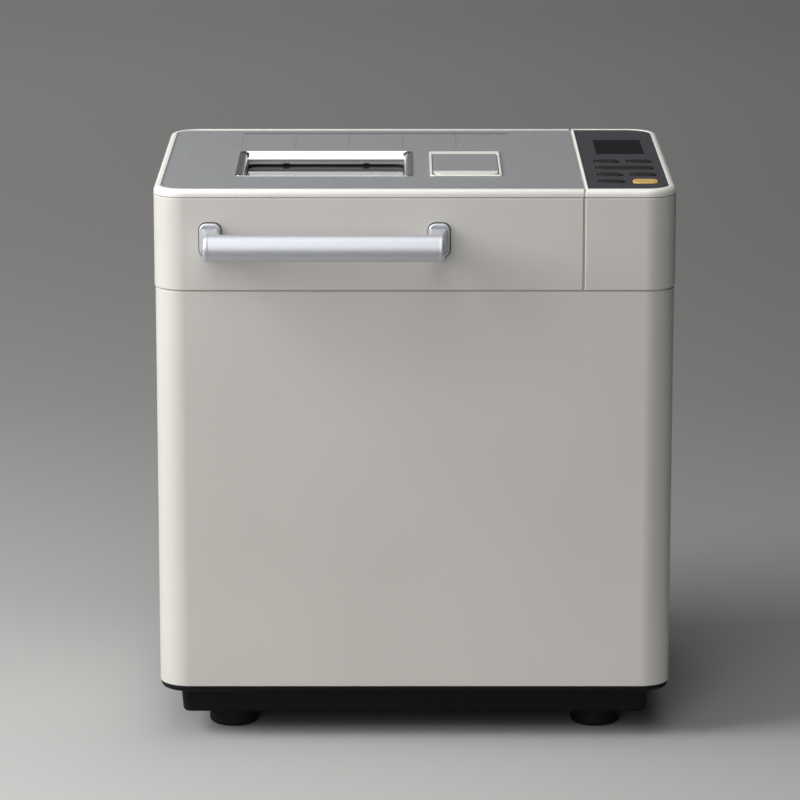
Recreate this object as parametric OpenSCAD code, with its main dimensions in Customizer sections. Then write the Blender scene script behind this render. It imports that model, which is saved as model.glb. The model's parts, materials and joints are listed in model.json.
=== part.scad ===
// Bread machine: a painted steel casing on a plastic base, with a hinged lid over the
// baking chamber, a fixed control box beside the lid, and a belt-driven kneading pan.
// Millimetres, +Z up, front towards -Y, standing on z = 0.

/* [Casing] */
// Width of the painted casing
casing_w = 290; // [280:1:320]
// Depth of the painted casing
casing_d = 215; // [205:1:250]
// Height of the painted casing
casing_h = 228.4; // [222:0.2:260]
// Radius of the casing's upright corners
corner_r = 17; // [10:1:20]
// Thickness of the casing's steel sheet
casing_wall = 1.2; // [0.8:0.1:2]

/* [Base] */
// Diameter of a foot
foot_d = 28; // [20:1:34]
// Height of a foot below the tray
foot_h = 12; // [8:0.5:16]
// Distance of a foot's centre from the casing's side
foot_side = 41; // [34:1:60]
// Distance of a foot's centre from the casing's front or back
foot_end = 37; // [32:1:60]
// Height of the tray between the feet and its flange
tray_h = 15.4; // [12:0.2:20]
// How far the tray stands in from the casing
tray_inset = 11.3; // [8:0.1:16]
// Corner radius of the tray
tray_r = 6; // [4:0.5:12]
// Wall and floor thickness of the tray
tray_wall = 2.5; // [2:0.1:3.5]
// Height of the flange that carries the casing
flange_h = 3.6; // [2.5:0.1:5]
// Distance from the casing's left side to the drive pod that hangs under the tray
pod_left = 99; // [90:1:120]
// Distance from the casing's right side to the drive pod
pod_right = 53; // [52:1:70]
// Distance from the casing's front or back to the drive pod
pod_end = 32.5; // [32:0.5:50]
// How far the pod hangs below the tray
pod_drop = 3.5; // [1:0.5:6]

/* [Lid] */
// Gap between the casing and the lid
seam_gap = 1.2; // [0.8:0.1:2]
// Height of the lid's painted band
band_h = 51.5; // [48:0.5:60]
// How far the band stands out past the casing
band_proud = 0.5; // [0:0.1:1.5]
// Wall thickness of the band
band_wall = 1.6; // [1:0.1:2.4]
// Height of the rim on top of the band
rim_h = 4.8; // [4:0.1:7]
// Width of the rim around the top panels
rim_w = 4; // [3:0.1:6]
// Radius of the rim's outer top edge
rim_round = 3; // [1:0.1:3.5]
// Thickness of the rim's plate under the top panel
rim_plate = 2; // [1.5:0.1:3]
// Thickness of the metal top panel
panel_t = 1; // [0.6:0.1:1.5]
// How far the top panels lie below the rim's top
panel_sink = 0.5; // [0.2:0.1:1]
// Width of the fixed control box beside the lid
control_w = 51.5; // [50:0.5:56]
// Gap between the lid and the control box
split_gap = 1; // [0.6:0.1:2]
// Depth of the hollow in the underside of the lid
liner_rise = 29; // [26:0.5:32]
// Sheet thickness of the lid's liner
liner_t = 0.8; // [0.6:0.1:1.5]

/* [Window] */
// Distance from the lid's left side to the window's bezel
window_side = 44; // [38:0.5:50]
// Distance between the bezel and the dispenser's frame
window_gap = 9.7; // [6:0.1:16]
// Depth of the window's bezel
window_d = 86; // [70:1:100]
// Distance of the bezel from the casing's front
window_front = 46; // [40:1:60]
// Corner radius of the bezel
window_r = 4; // [3:0.5:12]
// Width of the bezel's side arms
bezel_side = 6; // [5:0.5:12]
// Width of the bezel's front and back arms
bezel_end = 8; // [5:0.5:12]
// How far the bezel stands above the top panel
bezel_rise = 1.1; // [0.5:0.1:2]
// Thickness of the window glass
glass_t = 3; // [2:0.5:4]
// Height of the bezel's collar above the glass
collar_h = 7.7; // [6:0.1:12]

/* [Dispenser] */
// Width of the dispenser's frame
dispenser_w = 40.6; // [34:0.2:44]
// Depth of the dispenser's frame
dispenser_d = 82.7; // [76:0.1:90]
// Distance of the dispenser from the casing's front
dispenser_front = 46; // [40:1:60]
// Distance from the dispenser's frame to the lid's right side
dispenser_side = 43.7; // [40:0.1:48]
// Width of the frame's side arms
frame_side = 2.2; // [2:0.1:3]
// Width of the frame's back arm
frame_back = 9; // [6:0.5:14]
// Width of the frame's front arm
frame_front = 2.5; // [2:0.1:4]
// How far the frame stands above the top panel
frame_rise = 0.8; // [0.4:0.1:1.5]
// Thickness of the dispenser's cover
cover_t = 2; // [1.6:0.1:3]
// Radius of the cover's front corners
cover_r = 9; // [4:0.5:12]
// Depth of the dispenser's cup below its frame
cup_h = 22; // [16:0.5:24]
// Wall thickness of the cup
cup_wall = 1.6; // [1.2:0.1:2.4]
// Thickness of the flap under the cup
flap_t = 1.6; // [1.2:0.1:2.4]

/* [Handle] */
// Length of the handle bar
handle_l = 132.7; // [110:0.5:150]
// Diameter of the handle bar
handle_d = 15; // [12:0.5:18]
// Distance of the bar's centre from the lid's front
handle_reach = 26; // [20:0.5:35]
// Distance from the lid's left side to the end of the bar
handle_side = 29.15; // [20:0.05:40]
// Height of the bar's centre above the lid's lower edge
handle_up = 28.2; // [22:0.2:36]
// Width of a handle post
post_w = 9; // [7:0.5:12]
// Height of a handle post
post_h = 13; // [10:0.5:14]
// Width of the plate behind a post
escutcheon_w = 12.4; // [10:0.2:16]
// Height of the plate behind a post
escutcheon_h = 19.5; // [16:0.5:24]
// Thickness of the plate behind a post
escutcheon_t = 2; // [1:0.2:3]
// How far the plate's middle lies outside its post's middle
escutcheon_out = 1.6; // [0:0.1:2.5]

/* [Control panel] */
// Thickness of the control panel
control_t = 2; // [1.5:0.1:3]
// Width of the display's lens
display_w = 27.6; // [24:0.2:32]
// Depth of the display's lens
display_d = 51; // [44:1:54]
// Distance of the lens from the casing's front
display_front = 123.5; // [120:0.5:130]
// Distance from the front to the nearest row of keys
key_front = 30; // [26:1:34]
// Distance between two rows of keys
key_pitch = 22.6; // [20:0.2:23]
// Width of a key
key_w = 14.2; // [12:0.2:15]
// Depth of a key
key_d = 10.2; // [9:0.2:15]
// Depth of the start key
start_d = 13.6; // [12:0.2:17]
// Distance between the middles of the two columns of keys
key_columns = 18.7; // [17:0.1:20]
// How far a key stands above the panel
key_rise = 0.6; // [0.5:0.1:1.6]
// Travel of a key
key_travel = 0.8; // [0.4:0.1:1]
// Clearance around a key
key_gap = 0.4; // [0.3:0.05:0.6]

/* [Baking chamber] */
// Distance from the lid's side to the chamber
chamber_side = 21.25; // [17:0.25:24]
// Distance from the casing's front or back to the chamber
chamber_end = 23.5; // [18:0.5:26]
// Height of the chamber's floor above the table
chamber_z = 84; // [80:1:92]
// Corner radius of the chamber
chamber_r = 20; // [12:1:30]
// Sheet thickness of the chamber
chamber_wall = 0.8; // [0.6:0.1:1.5]
// Radius of the heating element's tube
element_r = 3.2; // [2.5:0.1:4]
// Height of the element above the chamber's floor
element_up = 14; // [10:1:20]
// Distance from the chamber's wall to the element's centre
element_in = 9; // [7:0.5:10]

/* [Pan] */
// Distance from the chamber's side to the bread pan
pan_side = 23; // [20:0.5:28]
// Distance from the chamber's front or back to the bread pan
pan_end = 21; // [19:0.5:26]
// Height of the bread pan
pan_h = 112; // [95:1:114]
// Wall thickness of the bread pan
pan_wall = 1.5; // [1.2:0.1:2.5]
// Corner radius of the bread pan
pan_r = 24; // [16:1:32]
// Width of the beaded edge of the pan
bead_w = 1.5; // [1:0.1:2.5]
// Height of the pan's base ring
base_ring_h = 17; // [15:0.5:20]
// Outer radius of the pan's base ring
base_ring_r = 31; // [26:0.5:36]
// Radius of the pan handle's wire
bail_r = 2.2; // [1.8:0.1:3]
// Gap between the pan's beaded edge and the folded handle
bail_gap = 4.3; // [2:0.1:8]
// Depth of the pan handle's pivots below the pan's edge
bail_drop = 9; // [8:0.5:12]
// Length of the kneading paddle's blade
blade_l = 34; // [26:1:40]
// Height of the kneading paddle's hub
paddle_h = 21; // [16:1:26]

/* [Drive] */
// Height of the chassis plate above the table
chassis_z = 50; // [48:1:54]
// Thickness of the chassis plate
chassis_t = 2; // [1.5:0.1:3]
// Radius of the drive shaft
drive_shaft_r = 5; // [4:0.1:6]
// Radius of the pan's shaft
pan_shaft_r = 4; // [3.5:0.1:4.5]
// Radius of the motor's shaft
motor_shaft_r = 3; // [2.5:0.1:4]
// Radius of the drive pulley
drive_pulley_r = 42; // [36:1:48]
// Radius of the motor pulley
motor_pulley_r = 9; // [7:0.5:12]
// Thickness of the belt
belt_t = 2; // [1.5:0.1:3]
// Width of the belt
belt_w = 8; // [6:0.5:9]
// Radius of the motor
motor_r = 27; // [22:0.5:28]
// Height of the motor
motor_h = 64; // [50:1:80]
// Distance from the motor's axis to the casing's right side
motor_side = 33; // [32:0.5:36]
// Radial clearance of a shaft in its bearing
run_fit = 0.05; // [0.02:0.01:0.1]

/* [Hinge] */
// Radius of a hinge barrel
barrel_r = 4; // [3.5:0.1:5]
// Radius of a hinge pin
pin_r = 2; // [1.5:0.1:2.4]
// Distance from the casing's back to the hinge axis
hinge_out = 5; // [5:0.1:7]
// Distance from the lid's middle to a hinge
hinge_side = 75; // [60:1:90]
// Length of a hinge
hinge_l = 40; // [30:1:50]
// Radius of the bush that the cord leaves by
gland_r = 7; // [6:0.5:9]

/* [Hidden] */
$fn = 64;

cut = 0.5;                      // how far a cutting shape runs past what it cuts
slip = 0.3;                     // gap beside a piece that moves or drops into place
hull_fn = 32;                   // facets of a rounded edge

// Heights, from the table upwards
tray_z = foot_h;
flange_in = 0.5;                 // from the casing's side to the tray's flange
flange_z = tray_z + tray_h;
casing_z = flange_z + flange_h;
casing_top = casing_z + casing_h;
lid_z = casing_top + seam_gap;
rim_z = lid_z + band_h;
top_z = rim_z + rim_h;
panel_z = top_z - panel_sink - panel_t;
control_z = top_z - panel_sink - control_t;
deck_t = 3;
deck_z = casing_top - deck_t;
liner_z = lid_z + 1.4;
ceiling_z = liner_z + liner_rise;

// Plan sizes, about the casing's middle
front_y = -casing_d / 2;
lid_w = casing_w + 2 * band_proud;
lid_d = casing_d + 2 * band_proud;
lid_r = corner_r + band_proud;
lid_left = -lid_w / 2;
control_right = lid_w / 2;
control_left = control_right - control_w;
split_x = control_left - split_gap;     // the lid's right side
bay_x = (lid_left + split_x) / 2;       // middle of the lid, the chamber and the pan
chamber_w = split_x - lid_left - 2 * chamber_side;
chamber_d = casing_d - 2 * chamber_end;
motor_x = casing_w / 2 - motor_side;
pod_w = casing_w - pod_left - pod_right;
pod_d = casing_d - 2 * pod_end;
pod_x = (pod_left - pod_right) / 2;

// Window and dispenser
dispenser_x = split_x - dispenser_side - dispenser_w / 2;
window_w = dispenser_x - dispenser_w / 2 - window_gap - lid_left - window_side;
window_x = lid_left + window_side + window_w / 2;
window_y = front_y + window_front + window_d / 2;
opening_w = window_w - 2 * bezel_side;
opening_d = window_d - 2 * bezel_end;
opening_r = window_r * 2 / 3;
bezel_wall = 1.5;
bezel_top = top_z - panel_sink + bezel_rise;
glass_z = bezel_top - collar_h - glass_t;
gasket_w = 4;
dispenser_y = front_y + dispenser_front + dispenser_d / 2;
frame_top = top_z - panel_sink + frame_rise;
frame_t = rim_plate + panel_t + frame_rise;
frame_z = frame_top - frame_t;
cover_w = dispenser_w - 2 * frame_side - 2 * slip;
cover_d = dispenser_d - frame_front - frame_back - 2 * slip;
cover_y = dispenser_y + (frame_front - frame_back) / 2;
cover_pin_r = 0.6;
cover_pin_l = 1;
cover_tail = 2.6;                // from the cover's pins to its back edge
cover_pin_y = cover_y + cover_d / 2 - cover_tail;
cover_pin_z = frame_top - cover_t / 2;
cup_in = 3;                      // from the frame's edge to the cup
cup_w = dispenser_w - 2 * cup_in;
cup_d = dispenser_d - 2 * cup_in;
cup_z = frame_z - cup_h;
flap_d = cup_d - 2 * cup_wall - 1;
flap_pin_r = 1.2;
flap_ear = 3;
flap_pin_x = dispenser_x - cup_w / 2 + flap_ear;
flap_pin_z = cup_z - slip - flap_t / 2;
frame_lip = 1.2;

// Middle of the bar, and of a post from there
handle_x = lid_left + handle_side + handle_l / 2;
post_side = (handle_l - post_w) / 2;

// Chamber and pan
floor_top = chamber_z + chamber_wall;
element_lead = 14;
pan_w = chamber_w - 2 * pan_side;
pan_d = chamber_d - 2 * pan_end;
element_w = chamber_w - 2 * element_in;
element_d = chamber_d - 2 * element_in;
element_bend = max(chamber_r - element_in, 2 * element_r);
saddle_x = element_w * 2 / 9;    // of a saddle's middle, from the chamber's middle
sensor_r = 3;
sensor_up = 60;
sensor_z = floor_top + sensor_up;
pan_z = floor_top + base_ring_h;
pan_top = pan_z + pan_h;
bail_z = pan_top - bail_drop;
bail_play = 0.8;
bail_side = pan_w / 2 + bead_w + bail_r + bail_play;
bail_reach = pan_d / 2 + bead_w + bail_r + bail_gap;
bail_eye_t = 2 * bail_r + 1;
bead_h = 2.5;
stud_r = 3;
bearing_wall = 4;
bearing_h = 12;
coupling_z = floor_top + 1.5;
dog_h = 4.5;
coupling_plate = 2;
wing_l = 12;
wing_w = 3;
bearing_r = pan_shaft_r + bearing_wall;
bearing_in_pan = bearing_h / 3;
hub_up = bearing_in_pan + 0.6;   // of the paddle's hub, above the pan's floor
hub_wall = 5;
blade_t = 3;
shaft_top = pan_z + paddle_h - 2;

// Drive train
belt_z = chassis_z - 14;
pulley_h = belt_w + 2;
belt_gap = 0.4;
lip_h = 0.8;                     // of a pulley's lip
post_r = 6;
post_end = 13.4;                 // from the tray's edge to a post
screw_r = 2;
screw_head_r = 3.6;
tray_posts = [for (x = [-1, 1], y = [-1, 1])
    [x * (casing_w / 2 - foot_side - foot_d / 2 - screw_head_r - post_r),
     y * (casing_d / 2 - tray_inset - post_end)]];
housing_r = 14;                  // of the drive shaft's bearing
mount_r = 6;
mount_in = 24;                   // from the chamber's sides to a mount
gland_up = 16;                   // of the cord's bush, above the chassis plate

// Hinges
hinge_y = casing_d / 2 + hinge_out;
hinge_z = casing_top + seam_gap / 2;
leaf_t = 2;
leaf_h = 20;
hinge_places = [bay_x - hinge_side, bay_x + hinge_side];

// The origin is under the middle of the whole object, handle and hinges included
front_reach = band_proud + handle_reach + handle_d / 2;
back_reach = hinge_out + barrel_r;
middle_y = (front_reach - back_reach) / 2;

// Keys: the panel's middle line, the rows from the front, and a key's stem
control_mid = (control_left + control_right) / 2;
control_ledge = 3;
key_left = control_mid - key_columns / 2;
key_right = control_mid + key_columns / 2;
key_flange = 1.4;
key_flange_out = 1;
stem_r = 1.6;
key_top = top_z - panel_sink + key_rise;
key_flange_z = control_z - slip - key_flange;
board_drop = 12;
board_z = key_flange_z - board_drop;
board_t = 1.6;
board_end = 14;                  // from the front row of keys to the board's edge
switch_w = 6;
switch_h = 5;
spacer_r = 3;
stem_z = board_z + board_t + switch_h + key_travel + slip;
rocker_z = key_flange_z + key_flange / 2;
long_w = key_columns + key_w;
rocker_arm = long_w / 2 - 4;

function row_y(i) = front_y + key_front + i * key_pitch;

// ---- Shared shapes ----

// Rectangle with rounded corners, about the origin
module rounded(w, d, r) {
    square([w - 2 * r, d], center = true);
    square([w, d - 2 * r], center = true);
    for (x = [-1, 1], y = [-1, 1])
        translate([x * (w / 2 - r), y * (d / 2 - r)])
            circle(r);
}

module slab(w, d, r, h) {
    linear_extrude(h)
        rounded(w, d, r);
}

// Upright tube with a rounded rectangular outline; w, d and r are its outer sizes
module tube(w, d, r, wall, h) {
    difference() {
        slab(w, d, r, h);
        translate([0, 0, -cut])
            slab(w - 2 * wall, d - 2 * wall, r - wall, h + 2 * cut);
    }
}

// Box from one corner to the opposite one
module block(low, high) {
    translate(low)
        cube(high - low);
}

module rod_x(r, l) {
    rotate([0, 90, 0])
        cylinder(r = r, h = l, center = true);
}

module rod_y(r, l) {
    rotate([90, 0, 0])
        cylinder(r = r, h = l, center = true);
}

// Moves the casing's middle to the place that centres the whole object
module placed() {
    translate([0, middle_y, 0])
        children();
}

// Everything left of the lid's right side, between two heights
module left_part(z0, z1) {
    block([-lid_w, -lid_d, z0], [split_x, lid_d, z1]);
}

// Everything right of the control box's left side, between two heights
module right_part(z0, z1) {
    block([control_left, -lid_d, z0], [lid_w, lid_d, z1]);
}

// Top of the machine with a rounded outer edge, over the whole outline
module rim_blank() {
    hull() {
        for (x = [-1, 1], y = [-1, 1])
            translate([x * (lid_w / 2 - lid_r), y * (lid_d / 2 - lid_r), rim_z]) {
                cylinder(r = lid_r, h = rim_h - rim_round, $fn = hull_fn);
                translate([0, 0, rim_h - rim_round])
                    rotate_extrude($fn = hull_fn)
                        translate([lid_r - rim_round, 0])
                            intersection() {
                                circle(rim_round, $fn = hull_fn);
                                square(rim_round);
                            }
            }
    }
}

// Outline inside the rim, where the top panels lie
module inside_rim(h) {
    slab(lid_w - 2 * rim_w, lid_d - 2 * rim_w, lid_r - rim_w, h);
}

// ---- Base ----

module base_tray() {
    color("#26262a") {
        difference() {
            union() {
                translate([0, 0, tray_z])
                    slab(casing_w - 2 * tray_inset, casing_d - 2 * tray_inset, tray_r, tray_h);
                translate([0, 0, flange_z])
                    slab(casing_w - 2 * flange_in, casing_d - 2 * flange_in,
                         corner_r - flange_in, flange_h);
                translate([pod_x, 0, tray_z - pod_drop])
                    slab(pod_w, pod_d, corner_r, pod_drop);
            }
            translate([0, 0, tray_z + tray_wall])
                slab(casing_w - 2 * (tray_inset + tray_wall),
                     casing_d - 2 * (tray_inset + tray_wall),
                     tray_r - tray_wall, tray_h + flange_h);
            for (p = tray_posts) {
                translate([p[0], p[1], 0])
                    cylinder(r = screw_r + 0.2, h = casing_z);
                translate([p[0], p[1], tray_z - cut])
                    cylinder(r = screw_head_r + slip, h = tray_wall - 1 + cut);
            }
        }
        for (p = tray_posts)
            translate([p[0], p[1], tray_z + tray_wall])
                difference() {
                    cylinder(r = post_r, h = chassis_z - tray_z - tray_wall);
                    translate([0, 0, -cut])
                        cylinder(r = screw_r + 0.2, h = chassis_z);
                }
    }
}

module feet() {
    rounded_part = 2.5;
    color("#1d1d20")
        for (x = [-1, 1], y = [-1, 1])
            translate([x * (casing_w / 2 - foot_side), y * (casing_d / 2 - foot_end), 0])
                rotate_extrude() {
                    square([foot_d / 2 - rounded_part, foot_h]);
                    translate([0, rounded_part])
                        square([foot_d / 2, foot_h - rounded_part]);
                    translate([foot_d / 2 - rounded_part, rounded_part])
                        circle(rounded_part);
                }
}

module base_screws() {
    color("#b8b8bc")
        for (p = tray_posts)
            translate([p[0], p[1], tray_z + tray_wall - 1]) {
                cylinder(r = screw_r, h = chassis_z + chassis_t + 4 - tray_z - tray_wall + 1);
                translate([0, 0, 1 - tray_wall])
                    cylinder(r = screw_head_r, h = tray_wall - 1);
            }
}

// ---- Casing and control box ----

module outer_casing() {
    color("#d9d4cb")
        difference() {
            translate([0, 0, casing_z])
                tube(casing_w, casing_d, corner_r, casing_wall, casing_h);
            translate([motor_x, casing_d / 2, chassis_z + gland_up])
                rod_y(gland_r, 4 * casing_wall);
        }
}

module deck_frame() {
    well_in = 12;                // from the control box's sides to its opening
    inner = casing_wall + 0.1;
    color("#3a3a3e")
        difference() {
            union() {
                translate([0, 0, deck_z])
                    slab(casing_w - 2 * inner, casing_d - 2 * inner, corner_r - inner, deck_t);
                intersection() {
                    translate([0, 0, casing_top])
                        slab(casing_w - 2 * band_wall, casing_d - 2 * band_wall,
                             corner_r - band_wall, seam_gap);
                    right_part(casing_top, lid_z);
                }
            }
            translate([bay_x, 0, deck_z - cut])
                slab(chamber_w, chamber_d, chamber_r, deck_t + 2 * cut);
            block([control_left + well_in, -casing_d / 4, deck_z - cut],
                  [control_right - well_in, casing_d / 4, lid_z + cut]);
        }
}

module control_box() {
    color("#d9d4cb")
        difference() {
            intersection() {
                translate([0, 0, lid_z])
                    slab(lid_w, lid_d, lid_r, band_h);
                right_part(lid_z, rim_z);
            }
            intersection() {
                translate([0, 0, lid_z - cut])
                    slab(lid_w - 2 * band_wall, lid_d - 2 * band_wall, lid_r - band_wall,
                         band_h + 2 * cut);
                translate([band_wall, 0, 0])
                    right_part(lid_z - cut, rim_z + cut);
            }
        }
}

// The control panel's outline: a strip on the left, the rim's width on the other sides
module control_outline(gap, h) {
    intersection() {
        translate([0, 0, control_z])
            slab(lid_w - 2 * (rim_w + gap), lid_d - 2 * (rim_w + gap), lid_r - rim_w, h);
        translate([rim_w / 2 + gap, 0, 0])
            right_part(control_z, control_z + h);
    }
}

module control_rim() {
    color("#e6e2da")
        difference() {
            intersection() {
                rim_blank();
                right_part(rim_z, top_z);
            }
            control_outline(0, rim_h);
            intersection() {
                translate([0, 0, rim_z - cut])
                    slab(lid_w - 2 * (rim_w + control_ledge), lid_d - 2 * (rim_w + control_ledge),
                         lid_r - rim_w - control_ledge, rim_h);
                translate([rim_w / 2 + control_ledge, 0, 0])
                    right_part(rim_z - cut, top_z);
            }
        }
}

module control_panel() {
    color("#55565b")
        difference() {
            control_outline(0.1, control_t);
            translate([control_mid, front_y + display_front + display_d / 2, control_z - cut])
                slab(display_w + 0.2, display_d + 0.2, 1.1, control_t + 2 * cut);
            for (k = [[key_left, 0, key_d], [key_left, 1, key_d], [key_right, 1, key_d],
                      [key_left, 3, key_d], [key_right, 3, key_d], [key_right, 0, start_d]])
                translate([k[0], row_y(k[1]), control_z - cut])
                    key_outline(key_w, k[2], key_gap, control_t + 2 * cut);
            translate([control_mid, row_y(2), control_z - cut])
                key_outline(long_w, key_d, key_gap, control_t + 2 * cut);
        }
}

module display_lens() {
    color("#20262a")
        translate([control_mid, front_y + display_front + display_d / 2, control_z])
            slab(display_w, display_d, 1, control_t);
}

module display_module() {
    back = 6;
    color("#8a8f94")
        translate([control_mid, front_y + display_front + display_d / 2, control_z - back])
            slab(display_w + 3, display_d - 4, 1, back);
}

module control_board() {
    wide = control_right - control_left - 2 * band_wall - 4;
    color("#2e5d3c") {
        block([control_mid - wide / 2, row_y(0) - board_end, board_z],
              [control_mid + wide / 2, front_y + display_front + display_d, board_z + board_t]);
        for (i = [0, 1, 3], x = [key_left, key_right])
            translate([x, row_y(i), board_z + board_t + switch_h / 2])
                cube([switch_w, switch_w, switch_h], center = true);
        for (x = [-1, 1])
            translate([control_mid + x * rocker_arm, row_y(2),
                       board_z + board_t + switch_h / 2])
                cube([switch_w, switch_w, switch_h], center = true);
        for (y = [row_y(0) - key_pitch / 2, row_y(3) + key_pitch / 2])
            translate([control_mid, y, board_z + board_t])
                cylinder(r = spacer_r, h = control_z - board_z - board_t);
    }
}

// ---- Keys ----

module key_outline(w, d, gap, h) {
    slab(w + 2 * gap, d + 2 * gap, min(3, d / 2 - 1) + gap, h);
}

// A push key: its cap, the flange that keeps it in the panel, and a stem to its switch
module push_key(x, row, d, tint) {
    color(tint)
        translate([x, row_y(row), 0]) {
            translate([0, 0, key_flange_z + key_flange])
                key_outline(key_w, d, 0, key_top - key_flange_z - key_flange);
            translate([0, 0, key_flange_z])
                key_outline(key_w, d, key_flange_out, key_flange);
            translate([0, 0, stem_z])
                cylinder(r = stem_r, h = key_flange_z - stem_z);
        }
}

module menu_key() {
    push_key(key_left, 3, key_d, "#1b1b1e");
}

module crust_key() {
    push_key(key_right, 3, key_d, "#1b1b1e");
}

module loaf_key() {
    push_key(key_left, 1, key_d, "#1b1b1e");
}

module light_key() {
    push_key(key_right, 1, key_d, "#1b1b1e");
}

module stop_key() {
    push_key(key_left, 0, key_d, "#1b1b1e");
}

module start_key() {
    push_key(key_right, 0, start_d, "#e0a11c");
}

// The long key rocks on a pin along Y, so that either end reaches its own switch
module time_rocker() {
    color("#1b1b1e")
        translate([control_mid, row_y(2), 0]) {
            translate([0, 0, rocker_z])
                key_outline(long_w, key_d, 0, key_top - rocker_z);
            translate([0, 0, rocker_z])
                rod_y(key_flange / 2, key_d + 3);
            for (x = [-1, 1])
                translate([x * rocker_arm, 0, stem_z])
                    cylinder(r = stem_r, h = rocker_z - stem_z);
        }
}

// ---- Chamber ----

module baking_chamber() {
    flange = 4;
    element_hole = element_r + slip;
    color("#9a9c9e")
        difference() {
            union() {
                translate([bay_x, 0, chamber_z])
                    slab(chamber_w, chamber_d, chamber_r, deck_z - chamber_z);
                translate([bay_x, 0, deck_z - chamber_wall])
                    slab(chamber_w + 2 * flange, chamber_d + 2 * flange, chamber_r + flange,
                         chamber_wall);
            }
            translate([bay_x, 0, floor_top])
                slab(chamber_w - 2 * chamber_wall, chamber_d - 2 * chamber_wall,
                     chamber_r - chamber_wall, deck_z);
            translate([bay_x, 0, chamber_z - cut])
                cylinder(r = drive_shaft_r + 2, h = chamber_wall + 2 * cut);
            for (y = [-1, 1])
                translate([bay_x + chamber_w / 2, y * element_lead, floor_top + element_up])
                    rod_x(element_hole, 4 * chamber_wall);
            translate([bay_x, -chamber_d / 2, sensor_z])
                rod_y(sensor_r, 4 * chamber_wall);
        }
}

// A tube around the chamber's foot, with both ends led out through the right wall
module heating_element() {
    x = element_w / 2 - element_bend;
    y = element_d / 2 - element_bend;
    lead_out = element_in + 8;
    color("#6d655e")
        translate([bay_x, 0, floor_top + element_up]) {
            for (c = [[1, 1, 0], [-1, 1, 90], [-1, -1, 180], [1, -1, 270]])
                translate([c[0] * x, c[1] * y, 0])
                    rotate([0, 0, c[2]])
                        rotate_extrude(angle = 90)
                            translate([element_bend, 0])
                                circle(element_r);
            for (s = [-1, 1]) {
                translate([0, s * element_d / 2, 0])
                    rod_x(element_r, 2 * x);
                translate([element_w / 2, s * (y + element_lead) / 2, 0])
                    rod_y(element_r, y - element_lead);
                translate([element_w / 2, s * element_lead, 0]) {
                    sphere(element_r);
                    translate([lead_out / 2, 0, 0])
                        rod_x(element_r, lead_out);
                }
            }
            translate([-element_w / 2, 0, 0])
                rod_y(element_r, 2 * y);
        }
}

// Saddles on the chamber's walls that carry the element
module element_brackets() {
    saddle_w = 8;
    lip = 1.2;
    color("#8c8e90")
        for (s = [-1, 1], x = [-saddle_x, saddle_x])
            difference() {
                block([bay_x + x - saddle_w / 2,
                       min(s * (chamber_d / 2 - chamber_wall), s * (element_d / 2 - element_r)),
                       floor_top + element_up - element_r - lip],
                      [bay_x + x + saddle_w / 2,
                       max(s * (chamber_d / 2 - chamber_wall), s * (element_d / 2 - element_r)),
                       floor_top + element_up]);
                translate([bay_x + x, s * element_d / 2, floor_top + element_up])
                    rod_x(element_r, 2 * saddle_w);
            }
}

module temperature_sensor() {
    sensor_l = 16;
    color("#c9c9cc")
        translate([bay_x, -chamber_d / 2, sensor_z]) {
            rod_y(sensor_r, sensor_l);
            translate([0, -sensor_r, 0])
                rod_y(2 * sensor_r, sensor_r);
        }
}

module chamber_mounts() {
    color("#77797c")
        for (x = [-1, 1], y = [-1, 1])
            translate([bay_x + x * (chamber_w / 2 - mount_in), y * (chamber_d / 2 - mount_in),
                       chassis_z + chassis_t])
                cylinder(r = mount_r, h = chamber_z - chassis_z - chassis_t);
}

// Sprung clips on the chamber's floor, around the pan's base ring
module pan_clips() {
    clip_t = 1;
    clip_w = 16;
    color("#b5b7ba")
        for (a = [45:90:315])
            translate([bay_x, 0, floor_top])
                rotate([0, 0, a]) {
                    block([base_ring_r + slip, -clip_w / 2, 0],
                          [base_ring_r + slip + clip_t, clip_w / 2, base_ring_h - 3]);
                    block([base_ring_r + slip + clip_t, -clip_w / 2, 0],
                          [base_ring_r + slip + 8, clip_w / 2, clip_t]);
                }
}

// ---- Chassis and drive ----

module chassis_plate() {
    inner = casing_wall + 1;
    color("#a5a7aa")
        difference() {
            translate([0, 0, chassis_z])
                slab(casing_w - 2 * inner, casing_d - 2 * inner, corner_r - inner, chassis_t);
            translate([bay_x, 0, chassis_z - cut])
                cylinder(r = drive_shaft_r + 2, h = chassis_t + 2 * cut);
            translate([motor_x, 0, chassis_z - cut])
                cylinder(r = motor_shaft_r + 2, h = chassis_t + 2 * cut);
            for (p = tray_posts)
                translate([p[0], p[1], chassis_z - cut])
                    cylinder(r = screw_r, h = chassis_t + 2 * cut);
        }
}

module drive_bearing() {
    flange_r = housing_r + 10;
    color("#8f9194")
        translate([bay_x, 0, chassis_z + chassis_t])
            difference() {
                union() {
                    cylinder(r = flange_r, h = 3);
                    cylinder(r = housing_r, h = chamber_z - chassis_z - chassis_t - 2);
                }
                translate([0, 0, -cut])
                    cylinder(r = drive_shaft_r + run_fit, h = chamber_z);
            }
}

module drive_shaft() {
    color("#c4c6c9")
        translate([bay_x, 0, belt_z])
            cylinder(r = drive_shaft_r, h = coupling_z - belt_z);
}

module pulley(r, bore) {
    difference() {
        union() {
            cylinder(r = r, h = pulley_h);
            for (z = [0, pulley_h - lip_h])
                translate([0, 0, z])
                    cylinder(r = r + belt_t, h = lip_h);
        }
        translate([0, 0, -cut])
            cylinder(r = bore, h = pulley_h + 2 * cut);
    }
}

module drive_pulley() {
    color("#d8d2c4")
        translate([bay_x, 0, belt_z])
            difference() {
                pulley(drive_pulley_r, drive_shaft_r);
                for (a = [0:60:300])
                    rotate([0, 0, a])
                        translate([(drive_pulley_r + drive_shaft_r) / 2, 0, -cut])
                            cylinder(r = drive_pulley_r / 6, h = pulley_h + 2 * cut);
            }
}

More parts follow.
